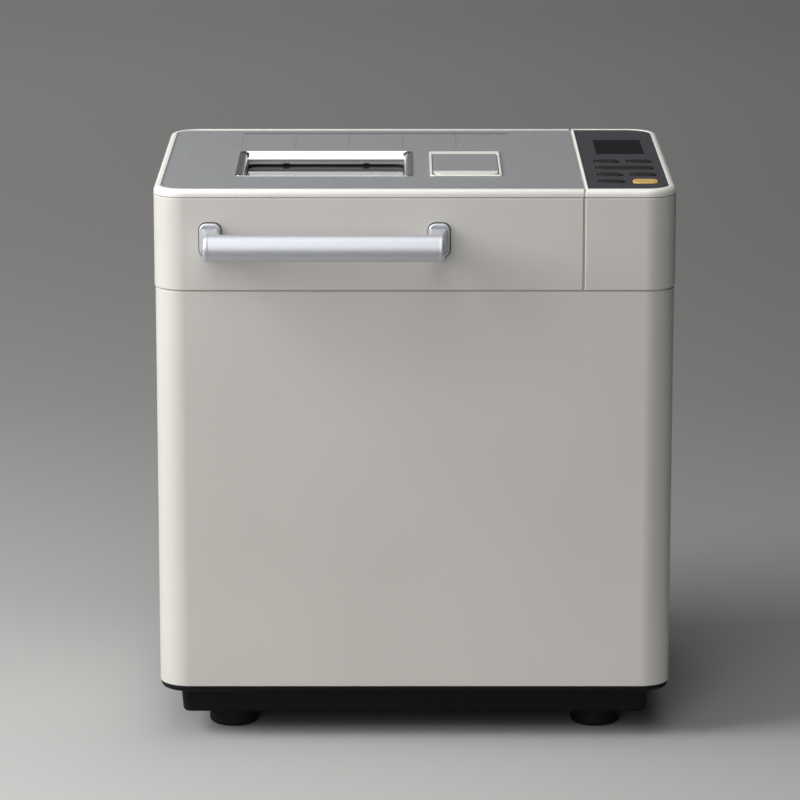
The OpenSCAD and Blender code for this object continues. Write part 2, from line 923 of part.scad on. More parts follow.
// Dogs on a plate, one behind each wing of the pan's coupling
module drive_coupling() {
    dog_start = 5;
    dog_w = 4;
    color("#7b7d80")
        translate([bay_x, 0, coupling_z]) {
            cylinder(r = wing_l + 2, h = coupling_plate);
            for (a = [0, 180])
                rotate([0, 0, a])
                    block([dog_start, wing_w + slip, coupling_plate],
                          [wing_l - 1, wing_w + slip + dog_w, coupling_plate + dog_h]);
        }
}

module pan_coupling() {
    lift = 0.6;                      // above the drive coupling's plate
    socket_r = 2;
    color("#8d8f92")
        translate([bay_x, 0, coupling_z + coupling_plate + lift])
            difference() {
                block([-wing_l, -wing_w, 0], [wing_l, wing_w, dog_h - lift]);
                translate([0, 0, 1])
                    cylinder(r = socket_r, h = dog_h);
            }
}

module motor_body() {
    color("#77797d")
        translate([motor_x, 0, chassis_z + chassis_t])
            difference() {
                union() {
                    cylinder(r = motor_r, h = motor_h);
                    translate([0, 0, motor_h])
                        cylinder(r = motor_r / 2, h = 6);
                    translate([0, 0, motor_h / 4])
                        cylinder(r = motor_r + 1.5, h = motor_h / 2);
                }
                translate([0, 0, -cut])
                    cylinder(r = motor_shaft_r + run_fit, h = motor_h + cut);
            }
}

module motor_shaft() {
    color("#c4c6c9")
        translate([motor_x, 0, belt_z])
            cylinder(r = motor_shaft_r, h = chassis_z + chassis_t + motor_h - 1 - belt_z);
}

module motor_pulley() {
    color("#cfcfd2")
        translate([motor_x, 0, belt_z])
            pulley(motor_pulley_r, motor_shaft_r);
}

// The belt's loop at a distance from both pulleys' faces
module belt_loop(gap, h) {
    linear_extrude(h)
        hull() {
            translate([bay_x, 0])
                circle(drive_pulley_r + gap, $fn = 96);
            translate([motor_x, 0])
                circle(motor_pulley_r + gap, $fn = 48);
        }
}

module drive_belt() {
    color("#1a1a1c")
        translate([0, 0, belt_z + (pulley_h - belt_w) / 2 + 0.2])
            difference() {
                belt_loop(belt_gap + belt_t, belt_w - 0.4);
                translate([0, 0, -cut])
                    belt_loop(belt_gap, belt_w + 2 * cut);
            }
}

// Power board on spacers over the chassis plate, with a transformer and a capacitor
module power_board() {
    wide = casing_w / 2 - casing_wall - split_gap - rim_w - control_left;
    deep = wide * 1.2;
    y0 = front_y + corner_r;
    z0 = chassis_z + chassis_t;
    spacer_h = foot_h / 2;
    top = z0 + spacer_h + board_t;
    inset = 1.5 * spacer_r;
    color("#2f6b45") {
        block([control_left, y0, z0 + spacer_h], [control_left + wide, y0 + deep, top]);
        for (x = [inset, wide - inset], y = [inset, deep - inset])
            translate([control_left + x, y0 + y, z0])
                cylinder(r = spacer_r, h = spacer_h);
        block([control_left + wide / 8, y0 + deep / 4, top],
              [control_left + wide * 5 / 8, y0 + deep * 3 / 4, top + wide / 2]);
        translate([control_left + wide * 4 / 5, y0 + deep / 2, top])
            cylinder(r = wide / 8, h = wide / 2);
    }
}

// A bush in the casing's back, through which the supply cord passes
module cord_gland() {
    gland_l = 10;
    collar_w = 2.5;
    bush_wall = 3;
    color("#1b1b1e")
        translate([motor_x, casing_d / 2, chassis_z + gland_up])
            difference() {
                union() {
                    rod_y(gland_r, gland_l);
                    translate([0, 1, 0])
                        rod_y(gland_r + collar_w, 2);
                }
                rod_y(gland_r - bush_wall, gland_l + 2 * cut);
            }
}

// ---- Pan ----

module bread_pan() {
    stud_end = bail_side + bail_r + 1;
    color("#4a4b4f")
        difference() {
            union() {
                translate([bay_x, 0, pan_z])
                    slab(pan_w, pan_d, pan_r, pan_h);
                translate([bay_x, 0, pan_top - bead_h])
                    slab(pan_w + 2 * bead_w, pan_d + 2 * bead_w, pan_r + bead_w, bead_h);
                for (s = [-1, 1])
                    translate([bay_x + s * (pan_w / 2 + stud_end) / 2, 0, bail_z])
                        rod_x(stud_r, stud_end - pan_w / 2);
            }
            translate([bay_x, 0, pan_z + pan_wall])
                slab(pan_w - 2 * pan_wall, pan_d - 2 * pan_wall, pan_r - pan_wall, pan_h);
            translate([bay_x, 0, pan_z - cut])
                cylinder(r = bearing_r, h = pan_wall + 2 * cut);
        }
}

module pan_base_ring() {
    floor_h = 6;
    recess_r = wing_l + 4;
    color("#6e7074")
        translate([bay_x, 0, pan_z - base_ring_h])
            difference() {
                cylinder(r = base_ring_r, h = base_ring_h);
                translate([0, 0, -cut])
                    cylinder(r = recess_r, h = base_ring_h - floor_h + cut);
                translate([0, 0, -cut])
                    cylinder(r = bearing_r, h = base_ring_h + 2 * cut);
            }
}

module pan_bearing() {
    color("#b08d4f")
        translate([bay_x, 0, pan_z + bearing_in_pan - bearing_h])
            difference() {
                cylinder(r = bearing_r, h = bearing_h);
                translate([0, 0, -cut])
                    cylinder(r = pan_shaft_r + run_fit, h = bearing_h + 2 * cut);
            }
}

module pan_shaft() {
    low = coupling_z + coupling_plate + dog_h;
    color("#c4c6c9")
        translate([bay_x, 0, low])
            cylinder(r = pan_shaft_r, h = shaft_top - low);
}

module kneading_paddle() {
    hub_z = pan_z + hub_up;
    hub_h = paddle_h - hub_up;
    hub_r = pan_shaft_r + hub_wall;
    color("#3f4044")
        translate([bay_x, 0, hub_z])
            difference() {
                union() {
                    cylinder(r = hub_r, h = hub_h);
                    block([0, -blade_t / 2, 0], [hub_r + blade_l, blade_t / 2, hub_h - blade_t]);
                    translate([hub_r + blade_l, 0, 0])
                        cylinder(r = blade_t / 2, h = hub_h - blade_t);
                    translate([0, 0, hub_h])
                        cylinder(r1 = hub_r, r2 = hub_r - 4, h = 3);
                }
                translate([0, 0, -cut])
                    cylinder(r = pan_shaft_r, h = shaft_top - hub_z + cut);
            }
}

// The carrying handle, folded down towards the front of the chamber
module pan_handle() {
    bend = 12;
    eye_r = stud_r + 2.5;
    color("#b9bbbe")
        translate([bay_x, 0, bail_z])
            difference() {
                union() {
                    for (s = [-1, 1]) {
                        translate([s * bail_side, 0, 0])
                            rod_x(eye_r, bail_eye_t);
                        translate([s * bail_side, -(bail_reach - bend) / 2, 0])
                            rod_y(bail_r, bail_reach - bend);
                    }
                    for (c = [[1, 270], [-1, 180]])
                        translate([c[0] * (bail_side - bend), bend - bail_reach, 0])
                            rotate([0, 0, c[1]])
                                rotate_extrude(angle = 90)
                                    translate([bend, 0])
                                        circle(bail_r);
                    translate([0, -bail_reach, 0])
                        rod_x(bail_r, 2 * (bail_side - bend));
                }
                for (s = [-1, 1])
                    translate([s * bail_side, 0, 0])
                        rod_x(stud_r + run_fit, 8 * bail_r);
            }
}

// ---- Lid ----

module lid_band() {
    color("#d9d4cb")
        difference() {
            intersection() {
                translate([0, 0, lid_z])
                    slab(lid_w, lid_d, lid_r, band_h);
                left_part(lid_z, rim_z);
            }
            intersection() {
                translate([0, 0, lid_z - cut])
                    slab(lid_w - 2 * band_wall, lid_d - 2 * band_wall, lid_r - band_wall,
                         band_h + 2 * cut);
                translate([-band_wall, 0, 0])
                    left_part(lid_z - cut, rim_z + cut);
            }
        }
}

module lid_rim() {
    color("#e6e2da")
        difference() {
            intersection() {
                rim_blank();
                left_part(rim_z, top_z);
            }
            translate([0, 0, panel_z])
                inside_rim(rim_h);
            translate([0, 0, rim_z - cut])
                slab(lid_w - 4 * rim_w, lid_d - 4 * rim_w, lid_r - 2 * rim_w,
                     panel_z - rim_plate - rim_z + cut);
            window_hole(bezel_wall);
            dispenser_hole();
        }
}

// The hole for the window's collar, through everything above the glass
module window_hole(grow) {
    translate([window_x, window_y, rim_z - cut])
        slab(opening_w + 2 * grow, opening_d + 2 * grow, opening_r + grow, rim_h + 2 * cut);
}

module dispenser_hole() {
    translate([dispenser_x, dispenser_y, rim_z - cut])
        slab(dispenser_w - 2 * frame_lip, dispenser_d - 2 * frame_lip, 1.5, rim_h + 2 * cut);
}

module lid_top_panel() {
    color("#9a9b9c")
        difference() {
            intersection() {
                translate([0, 0, panel_z])
                    slab(lid_w - 2 * rim_w - 0.2, lid_d - 2 * rim_w - 0.2, lid_r - rim_w - 0.1,
                         panel_t);
                left_part(panel_z, panel_z + panel_t);
            }
            window_hole(bezel_wall);
            dispenser_hole();
        }
}

// Sheet-metal underside: a flat edge and a raised hollow over the chamber
module lid_liner() {
    edge_x = (split_x - lid_left) / 2 - band_wall - 0.2;
    color("#b9babc")
        difference() {
            union() {
                translate([bay_x, 0, liner_z])
                    slab(2 * edge_x, lid_d - 2 * band_wall - 0.4, corner_r - band_wall, liner_t);
                translate([bay_x, 0, liner_z])
                    slab(chamber_w + 2 * liner_t, chamber_d + 2 * liner_t, chamber_r + liner_t,
                         liner_rise);
            }
            translate([bay_x, 0, liner_z - cut])
                slab(chamber_w, chamber_d, chamber_r, liner_rise - liner_t + cut);
            translate([window_x, window_y, ceiling_z - 2 * liner_t])
                slab(opening_w, opening_d, opening_r, 4 * liner_t);
            translate([dispenser_x, dispenser_y, ceiling_z - 2 * liner_t])
                slab(cup_w + 1, cup_d + 1, 2.5, 4 * liner_t);
        }
}

module window_bezel() {
    rim_low = bezel_top - bezel_rise;
    color("#c8cacc")
        difference() {
            union() {
                translate([window_x, window_y, rim_low])
                    slab(window_w, window_d, window_r, bezel_rise);
                translate([window_x, window_y, glass_z + glass_t])
                    slab(opening_w + 2 * bezel_wall, opening_d + 2 * bezel_wall,
                         opening_r + bezel_wall, rim_low - glass_z - glass_t);
            }
            translate([window_x, window_y, glass_z])
                slab(opening_w, opening_d, opening_r, collar_h + glass_t + cut);
        }
}

module window_glass() {
    color("#6f5f4c")
        translate([window_x, window_y, glass_z])
            slab(opening_w + 2 * gasket_w, opening_d + 2 * gasket_w, opening_r + gasket_w,
                 glass_t);
}

// The seal that the glass rests on, standing on the liner
module window_gasket() {
    color("#1c1c1e")
        translate([window_x, window_y, ceiling_z])
            tube(opening_w + 2 * gasket_w, opening_d + 2 * gasket_w, opening_r + gasket_w,
                 gasket_w, glass_z - ceiling_z);
}

module dispenser_frame() {
    inset = 2 * frame_lip + 0.2;
    color("#e6e2da")
        difference() {
            union() {
                translate([dispenser_x, dispenser_y, frame_z])
                    slab(dispenser_w - inset, dispenser_d - inset, 1.4, frame_t);
                translate([dispenser_x, dispenser_y, frame_top - frame_rise])
                    slab(dispenser_w, dispenser_d, 2, frame_rise);
            }
            translate([dispenser_x, cover_y, frame_z - cut])
                slab(cover_w + 2 * slip, cover_d + 2 * slip, 0.8, frame_t + 2 * cut);
            translate([dispenser_x, cover_pin_y, cover_pin_z])
                rod_x(cover_pin_r + run_fit, cover_w + 2 * slip + 2 * cover_pin_l);
        }
}

// The cup under the frame, with two ears for the flap's pin
module dispenser_box() {
    color("#dcd8d0")
        difference() {
            union() {
                translate([dispenser_x, dispenser_y, cup_z])
                    slab(cup_w, cup_d, 2, cup_h);
                block([flap_pin_x - flap_ear + 2, dispenser_y - cup_d / 2, flap_pin_z - flap_ear],
                      [flap_pin_x + flap_ear, dispenser_y + cup_d / 2, cup_z + cut]);
            }
            translate([dispenser_x, dispenser_y, cup_z - 2 * flap_ear])
                slab(cup_w - 2 * cup_wall, cup_d - 2 * cup_wall, 1, cup_h + 3 * flap_ear);
            block([flap_pin_x - 2 * flap_ear, dispenser_y - cup_d / 2 + cup_wall,
                   cup_z - 2 * flap_ear],
                  [flap_pin_x + 2 * flap_ear, dispenser_y + cup_d / 2 - cup_wall, cup_z]);
            translate([flap_pin_x, dispenser_y, flap_pin_z])
                rod_y(flap_pin_r + run_fit, cup_d + 2 * cut);
        }
}

module dispenser_cover() {
    color("#a9abad") {
        translate([dispenser_x, cover_y, frame_top - cover_t])
            slab(cover_w, cover_d, cover_r, cover_t);
        block([dispenser_x - cover_w / 2, cover_y, frame_top - cover_t],
              [dispenser_x + cover_w / 2, cover_y + cover_d / 2, frame_top]);
        translate([dispenser_x, cover_pin_y, cover_pin_z])
            rod_x(cover_pin_r, cover_w + 2 * slip + 2 * cover_pin_l - 0.2);
    }
}

module dispenser_flap() {
    color("#cfcbc3") {
        block([flap_pin_x, dispenser_y - flap_d / 2, cup_z - slip - flap_t],
              [dispenser_x + cup_w / 2 - slip, dispenser_y + flap_d / 2, cup_z - slip]);
        translate([flap_pin_x, dispenser_y, flap_pin_z])
            rod_y(flap_pin_r, cup_d);
    }
}

// Pulls the latch that holds the flap shut
module dispenser_solenoid() {
    coil_w = 16;
    coil_d = 24;
    coil_h = 14;
    x0 = dispenser_x + cup_w / 2 + 1;
    color("#8b6f3a")
        block([x0, dispenser_y - coil_d / 2, ceiling_z],
              [x0 + coil_w, dispenser_y + coil_d / 2, ceiling_z + coil_h]);
}

module handle_bar() {
    chamfer = 1.2;
    y = front_y - band_proud - handle_reach;
    color("#b4b6b9")
        translate([handle_x, y, lid_z + handle_up])
            rotate([0, 90, 0])
                rotate_extrude()
                    polygon([[0, -handle_l / 2], [handle_d / 2 - chamfer, -handle_l / 2],
                             [handle_d / 2, chamfer - handle_l / 2],
                             [handle_d / 2, handle_l / 2 - chamfer],
                             [handle_d / 2 - chamfer, handle_l / 2], [0, handle_l / 2]]);
}

module handle_posts() {
    y1 = front_y - band_proud - escutcheon_t;
    y0 = front_y - band_proud - handle_reach;
    color("#c9cbce")
        for (s = [-1, 1], x = handle_x + s * post_side)
            difference() {
                block([x - post_w / 2, y0, lid_z + handle_up - post_h / 2],
                      [x + post_w / 2, y1, lid_z + handle_up + post_h / 2]);
                translate([x, y0, lid_z + handle_up])
                    rod_x(handle_d / 2, 2 * post_w);
                block([x - post_w, y0 - post_h, lid_z], [x + post_w, y0 + 3, rim_z]);
            }
}

module handle_escutcheons() {
    color("#d7d9dc")
        for (s = [-1, 1])
            translate([handle_x + s * (post_side + escutcheon_out), front_y - band_proud,
                       lid_z + handle_up])
                rotate([90, 0, 0])
                    slab(escutcheon_w, escutcheon_h, 4, escutcheon_t);
}

// ---- Hinges ----

// Knuckles of both hinges: n says which of the three thirds of the barrel are drawn
module knuckles(thirds, bore) {
    third = hinge_l / 3;
    for (x = hinge_places, n = thirds)
        translate([x + n * third, hinge_y, hinge_z])
            difference() {
                rod_x(barrel_r, third - 2 * slip);
                rod_x(bore, third);
            }
}

module hinge_brackets() {
    third = hinge_l / 3;
    color("#8b8d90") {
        knuckles([-1, 1], pin_r);
        for (x = hinge_places, n = [-1, 1])
            difference() {
                block([x + n * third - third / 2 + slip, casing_d / 2, hinge_z - leaf_h],
                      [x + n * third + third / 2 - slip, casing_d / 2 + leaf_t,
                       hinge_z - seam_gap]);
                translate([x, hinge_y, hinge_z])
                    rod_x(barrel_r, 2 * hinge_l);
            }
        for (x = hinge_places, n = [-1, 1])
            difference() {
                block([x + n * third - third / 2 + slip, casing_d / 2, hinge_z - barrel_r - 3],
                      [x + n * third + third / 2 - slip, hinge_y, hinge_z - seam_gap]);
                translate([x, hinge_y, hinge_z])
                    rod_x(barrel_r - 0.5, 2 * hinge_l);
            }
    }
}

module hinge_pins() {
    color("#c4c6c9")
        for (x = hinge_places)
            translate([x, hinge_y, hinge_z])
                rod_x(pin_r, hinge_l);
}

module lid_hinge_arms() {
    third = hinge_l / 3;
    back = casing_d / 2 + band_proud;
    color("#8b8d90") {
        knuckles([0], pin_r + run_fit);
        for (x = hinge_places)
            difference() {
                union() {
                    block([x - third / 2 + slip, back, hinge_z + seam_gap],
                          [x + third / 2 - slip, back + leaf_t, hinge_z + leaf_h]);
                    block([x - third / 2 + slip, back, hinge_z + seam_gap],
                          [x + third / 2 - slip, hinge_y, hinge_z + barrel_r + 3]);
                }
                translate([x, hinge_y, hinge_z])
                    rod_x(barrel_r - 0.5, 2 * hinge_l);
            }
    }
}

placed() base_tray();
placed() feet();
placed() base_screws();
placed() outer_casing();
placed() deck_frame();
placed() control_box();
placed() control_rim();
placed() control_panel();
placed() display_lens();
placed() display_module();
placed() control_board();
placed() power_board();
placed() baking_chamber();
placed() chamber_mounts();
placed() heating_element();
placed() element_brackets();
placed() temperature_sensor();
placed() pan_clips();
placed() chassis_plate();
placed() motor_body();
placed() drive_bearing();
placed() drive_belt();
placed() hinge_brackets();
placed() hinge_pins();
placed() cord_gland();
placed() drive_shaft();
placed() drive_pulley();
placed() drive_coupling();
placed() motor_shaft();
placed() motor_pulley();
placed() bread_pan();
placed() pan_base_ring();
placed() pan_bearing();
placed() pan_shaft();
placed() pan_coupling();
placed() kneading_paddle();
placed() pan_handle();
placed() lid_band();
placed() lid_rim();
placed() lid_top_panel();
placed() lid_liner();
placed() window_bezel();
placed() window_glass();
placed() window_gasket();
placed() dispenser_frame();
placed() dispenser_box();
placed() dispenser_solenoid();
placed() handle_bar();
placed() handle_posts();
placed() handle_escutcheons();
placed() lid_hinge_arms();
placed() dispenser_cover();
placed() dispenser_flap();
placed() menu_key();
placed() crust_key();
placed() time_rocker();
placed() loaf_key();
placed() light_key();
placed() stop_key();
placed() start_key();
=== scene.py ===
import json

import bpy
import numpy as np
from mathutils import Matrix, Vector


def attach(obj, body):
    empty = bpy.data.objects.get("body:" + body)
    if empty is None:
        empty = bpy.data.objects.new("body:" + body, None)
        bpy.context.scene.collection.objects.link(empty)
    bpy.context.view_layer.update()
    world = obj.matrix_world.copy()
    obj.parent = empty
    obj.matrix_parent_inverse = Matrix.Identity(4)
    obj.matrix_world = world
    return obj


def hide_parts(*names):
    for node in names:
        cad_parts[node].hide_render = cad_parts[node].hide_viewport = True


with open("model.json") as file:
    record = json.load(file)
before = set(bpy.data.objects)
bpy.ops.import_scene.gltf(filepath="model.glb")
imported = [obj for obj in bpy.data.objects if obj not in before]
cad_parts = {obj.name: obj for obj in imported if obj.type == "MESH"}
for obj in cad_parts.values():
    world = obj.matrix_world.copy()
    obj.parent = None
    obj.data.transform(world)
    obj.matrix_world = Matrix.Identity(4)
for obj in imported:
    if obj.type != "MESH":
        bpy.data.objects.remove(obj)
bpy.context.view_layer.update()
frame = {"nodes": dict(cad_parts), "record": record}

# Lengths of pieces are millimetres about the middle of the casing, and place() turns them
# into the frame's metres. They follow the solids' sizes to within a millimetre.
MM = 0.001
MIDDLE_Y = 12.5

CASING = (-145.0, 145.0, -107.5, 107.5)
CASING_R = 17.0
CASING_Z = (31.0, 259.4)
CASING_WALL = 1.2
LID = (-145.5, 93.25, -108.0, 108.0)
CONTROL = (94.0, 145.5, -108.0, 108.0)
TOP_R, SPLIT_R, BOX_R = 17.5, 0.5, 1.2
BAND_Z = (260.2, 312.1)
BAND_WALL, BAND_SOFT = 1.6, 0.5
RIM_TOP = 316.9
RIM_W = 4.0
BACK_RIM_W, BACK_RIM_IN = 5.5, 9.0
STRIP_W, STRIP_IN, STRIP_R = 2.0, 6.0, 0.8
RIM_ROUND = 3.0
LIP_IN, LIP_T, FIN_GAP = 0.7, 1.0, 0.1
GLAND_X, GLAND_Z, GLAND_R, GLAND_REACH = 112.0, 66.0, 7.05, 4.0
PANEL_TOP, PANEL_T = 316.4, 1.0

CORNER_STEPS = 24      # quads round a large corner
SQUARE_R = 0.02        # least radius of a corner, so that a square one keeps its points


# ---- Surfaces ----

def place(points):
    """Metres in the shared frame: the casing's middle is moved by MIDDLE_Y to the back."""
    return (np.asarray(points, float) + (0.0, MIDDLE_Y, 0.0)) * MM


def arc(centre, radius, first, last, steps=6):
    """Part of a circle in a section: centre + radius (cos a, sin a), where a goes from first to
    last degrees."""
    a = np.radians(np.linspace(first, last, steps + 1))
    return np.stack([centre[0] + radius * np.cos(a), centre[1] + radius * np.sin(a)], -1)


def section(*parts):
    """One line through all the parts, in order; a part is a point or a run of points."""
    return np.vstack([np.atleast_2d(np.asarray(p, float)) for p in parts])


def loops(box, radii, insets, steps=14):
    """Rounded rectangles, one for each inset. A corner is its centre + r (cos a, sin a),
    where r is the corner's radius less the inset. An inset is one number, or four for the
    left, right, front and back sides."""
    x0, x1, y0, y1 = box
    inset = np.asarray(insets, float)
    if inset.ndim == 1:
        inset = np.repeat(inset[:, None], 4, 1)
    left, right, front, back = (inset[:, k, None, None] for k in range(4))
    sx = np.array([-1.0, 1.0, 1.0, -1.0])[None, :, None]
    sy = np.array([-1.0, -1.0, 1.0, 1.0])[None, :, None]
    least = np.minimum(np.where(sx < 0, left, right), np.where(sy < 0, front, back))
    r = np.maximum(np.asarray(radii, float)[None, :, None] - least, SQUARE_R)
    cx = np.where(sx < 0, x0 + left + r, x1 - right - r)
    cy = np.where(sy < 0, y0 + front + r, y1 - back - r)
    start = np.radians([180.0, 270.0, 0.0, 90.0])[None, :, None]
    a = start + np.linspace(0.0, np.pi / 2, steps + 1)[None, None, :]
    rows = len(insets)
    return np.stack([(cx + r * np.cos(a)).reshape(rows, -1),
                     (cy + r * np.sin(a)).reshape(rows, -1)], -1)


def quads(rows, cols, wrap_rows, wrap_cols):
    """Corner numbers of each grid cell (i, j): next column, then next row."""
    i = np.arange(rows if wrap_rows else rows - 1)[:, None]
    j = np.arange(cols if wrap_cols else cols - 1)[None, :]
    i1, j1 = (i + 1) % rows, (j + 1) % cols
    grid = [i * cols + j, i * cols + j1, i1 * cols + j1, i1 * cols + j]
    return np.stack([np.broadcast_to(g, grid[0].shape) for g in grid], -1).reshape(-1, 4)


def shell(grid, wrap_rows=False, wrap_cols=True):
    """Points and faces of a grid (rows, columns, 3); each open end is closed by one face."""
    rows, cols = grid.shape[:2]
    faces = quads(rows, cols, wrap_rows, wrap_cols).tolist()
    if not wrap_rows:
        faces.append(list(range(cols))[::-1])
        faces.append(list(range((rows - 1) * cols, rows * cols)))
    if not wrap_cols:
        faces.append([i * cols for i in range(rows)])
        faces.append([i * cols + cols - 1 for i in range(rows)][::-1])
    return grid.reshape(-1, 3), faces


def carried(box, radii, line, closed=False, insets=None, steps=14):
    """A section line of (inset, height) carried round a rounded rectangle."""
    flat = loops(box, radii, line[:, 0] if insets is None else insets, steps)
    z = np.broadcast_to(line[:, 1][:, None, None], flat.shape[:2] + (1,))
    return shell(np.concatenate([flat, z], -1), wrap_rows=closed)


def joined(*shapes):
    """Several shapes as one list of points and faces."""
    points, faces, shift = [], [], 0
    for p, f in shapes:
        points.append(np.asarray(p, float))
        faces += [[k + shift for k in face] for face in f]
        shift += len(p)
    return np.vstack(points), faces


def even_normals(obj):
    """Flat faces keep their own normals, and the shading turns only over the round edges."""
    weighted = obj.modifiers.new("even_normals", "WEIGHTED_NORMAL")
    weighted.weight = 90
    weighted.keep_sharp = True


def piece(name, shape, finish, body, stands_for=(), normals=True):
    """A piece from points in millimetres; it rides on a body and may stand for CAD nodes."""
    points, faces = shape
    mesh = bpy.data.meshes.new(name)
    mesh.from_pydata(place(points).tolist(), [], [list(f) for f in faces])
    mesh.validate()
    mesh.shade_smooth()
    mesh.materials.append(finish)
    obj = bpy.data.objects.new(name, mesh)
    bpy.context.scene.collection.objects.link(obj)
    if normals:
        even_normals(obj)
    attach(obj, body)
    if stands_for:
        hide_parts(*stands_for)
    return obj


def carve(obj, *shapes):
    """Takes closed shapes out of a piece, whose mesh is then the carved one."""
    tools = []
    for points, faces in shapes:
        mesh = bpy.data.meshes.new("cutter")
        mesh.from_pydata(place(points).tolist(), [], faces)
        tool = bpy.data.objects.new("cutter", mesh)
        bpy.context.scene.collection.objects.link(tool)
        cut = obj.modifiers.new("cut", "BOOLEAN")
        cut.operation, cut.solver, cut.object = "DIFFERENCE", "EXACT", tool
        tools.append(tool)
    bpy.context.view_layer.update()
    seen = obj.evaluated_get(bpy.context.evaluated_depsgraph_get())
    carved = bpy.data.meshes.new_from_object(seen)
    obj.modifiers.clear()
    obj.data = carved
    for tool in tools:
        bpy.data.objects.remove(tool)
    even_normals(obj)
    return obj


# ---- Materials ----

# Sizes and depths of patterns are metres, as the Object coordinates are. CHART places and the
# ruled lines are millimetres, as the pieces are.

def new_material(name):
    """A material with its tree, its shader and the Object coordinates."""
    material = bpy.data.materials.new(name)
    material.use_nodes = True
    tree = material.node_tree
    shader = tree.nodes["Principled BSDF"]
    coords = tree.nodes.new("ShaderNodeTexCoord").outputs["Object"]
    return material, tree, shader, coords


def node(tree, kind, **inputs):
    """A shader node with inputs set by name, or by number as i0, i1; a socket is linked."""
    made = tree.nodes.new(kind)
    for key, value in inputs.items():
        socket = made.inputs[int(key[1:])] if key[0] == "i" and key[1:].isdigit() else \
            made.inputs[key.replace("_", " ")]
        if isinstance(value, bpy.types.NodeSocket):
            tree.links.new(value, socket)
        else:
            socket.default_value = value
    return made


def srgb(*levels):
    """Linear colour from screen levels of 0 to 255."""
    c = np.array(levels, float) / 255
    linear = np.where(c <= 0.04045, c / 12.92, ((c + 0.055) / 1.055) ** 2.4)
    return (*linear.tolist(), 1.0)


def spread(tree, value, low, high):
    """Maps a pattern's 0 to 1 onto low to high."""
    return node(tree, "ShaderNodeMapRange", Value=value, To_Min=low, To_Max=high).outputs[0]


def noise(tree, coords, size, detail=2.0, rough=0.5):
    """Noise whose lumps are about size metres across."""
    return node(tree, "ShaderNodeTexNoise", Vector=coords, Scale=1.0 / size, Detail=detail,
                Roughness=rough).outputs["Fac"]


def tint(tree, fac, low, high):
    """Colour that goes from low to high over the middle of fac, where most of a noise lies."""
    ramp = tree.nodes.new("ShaderNodeValToRGB")
    ramp.color_ramp.elements[0].position = 0.3
    ramp.color_ramp.elements[1].position = 0.7
    ramp.color_ramp.elements[0].color = low
    ramp.color_ramp.elements[1].color = high
    tree.links.new(fac, ramp.inputs["Fac"])
    return ramp.outputs["Color"]


def bump(tree, shader, height, distance, strength=1.0):
    """Raises the surface by distance metres where height is 1."""
    made = node(tree, "ShaderNodeBump", Height=height, Distance=distance, Strength=strength)
    tree.links.new(made.outputs["Normal"], shader.inputs["Normal"])


def grained(name, low, high, size, rough, depth=0.0, metallic=0.0, coat=0.0, shine=0.5):
    """A finish whose colour, gloss and height all follow one fine noise."""
    material, tree, shader, coords = new_material(name)
    fine = noise(tree, coords, size)
    tree.links.new(tint(tree, fine, low, high), shader.inputs["Base Color"])
    tree.links.new(spread(tree, fine, rough[0], rough[1]), shader.inputs["Roughness"])
    shader.inputs["Metallic"].default_value = metallic
    shader.inputs["Coat Weight"].default_value = coat
    shader.inputs["Specular IOR Level"].default_value = shine
    if depth:
        bump(tree, shader, fine, depth)
    return material


def casing_paint():
    """Warm grey-white stoved paint with a faint orange peel and slow drifts of tone."""
    material, tree, shader, coords = new_material("casing_paint")
    drift = noise(tree, coords, 0.09, 1.0)
    peel = noise(tree, coords, 0.0012, 2.0)
    tree.links.new(tint(tree, drift, srgb(204, 201, 195), srgb(208, 205, 199)),
                   shader.inputs["Base Color"])
    tree.links.new(spread(tree, peel, 0.36, 0.46), shader.inputs["Roughness"])
    bump(tree, shader, peel, 0.00002, 0.6)
    return material


CHART_X = (-101.5, 56.0)
CHART_Y = (38.0, 89.0)
CHART_PITCH, CHART_DIVIDER, CHART_RULE = 31.5, 0.5, 3.4
DIVIDER_STRENGTH = 0.5


def maths(tree, operation, a, b):
    """Result of one Math node on two sockets or values."""
    made = node(tree, "ShaderNodeMath", i0=a, i1=b)
    made.operation = operation
    return made.outputs[0]


def between(tree, value, low, width):
    """1 where value lies in low to low + width, otherwise 0."""
    above = maths(tree, "GREATER_THAN", value, low)
    below = maths(tree, "LESS_THAN", value, low + width)
    return maths(tree, "MULTIPLY", above, below)


def chart_lines(tree, coords):
    """Mask of the ruled chart: a head rule along X, and fainter dividers at an even pitch in
    front of it."""
    split = node(tree, "ShaderNodeSeparateXYZ", Vector=coords)
    x, y = split.outputs["X"], split.outputs["Y"]
    (left, right), (front, back) = CHART_X, CHART_Y
    within = between(tree, x, left * MM, (right - left) * MM)
    rule = between(tree, y, (back + MIDDLE_Y) * MM, CHART_RULE * MM)
    head = maths(tree, "MULTIPLY", within, rule)
    turn = maths(tree, "FLOORED_MODULO", maths(tree, "SUBTRACT", x, left * MM),
                 CHART_PITCH * MM)
    divider = between(tree, turn, 0.0, CHART_DIVIDER * MM)
    column = between(tree, y, (front + MIDDLE_Y) * MM, (back - front) * MM)
    ruled = maths(tree, "MULTIPLY", maths(tree, "MULTIPLY", divider, column), within)
    return maths(tree, "MAXIMUM", head, maths(tree, "MULTIPLY", ruled, DIVIDER_STRENGTH))


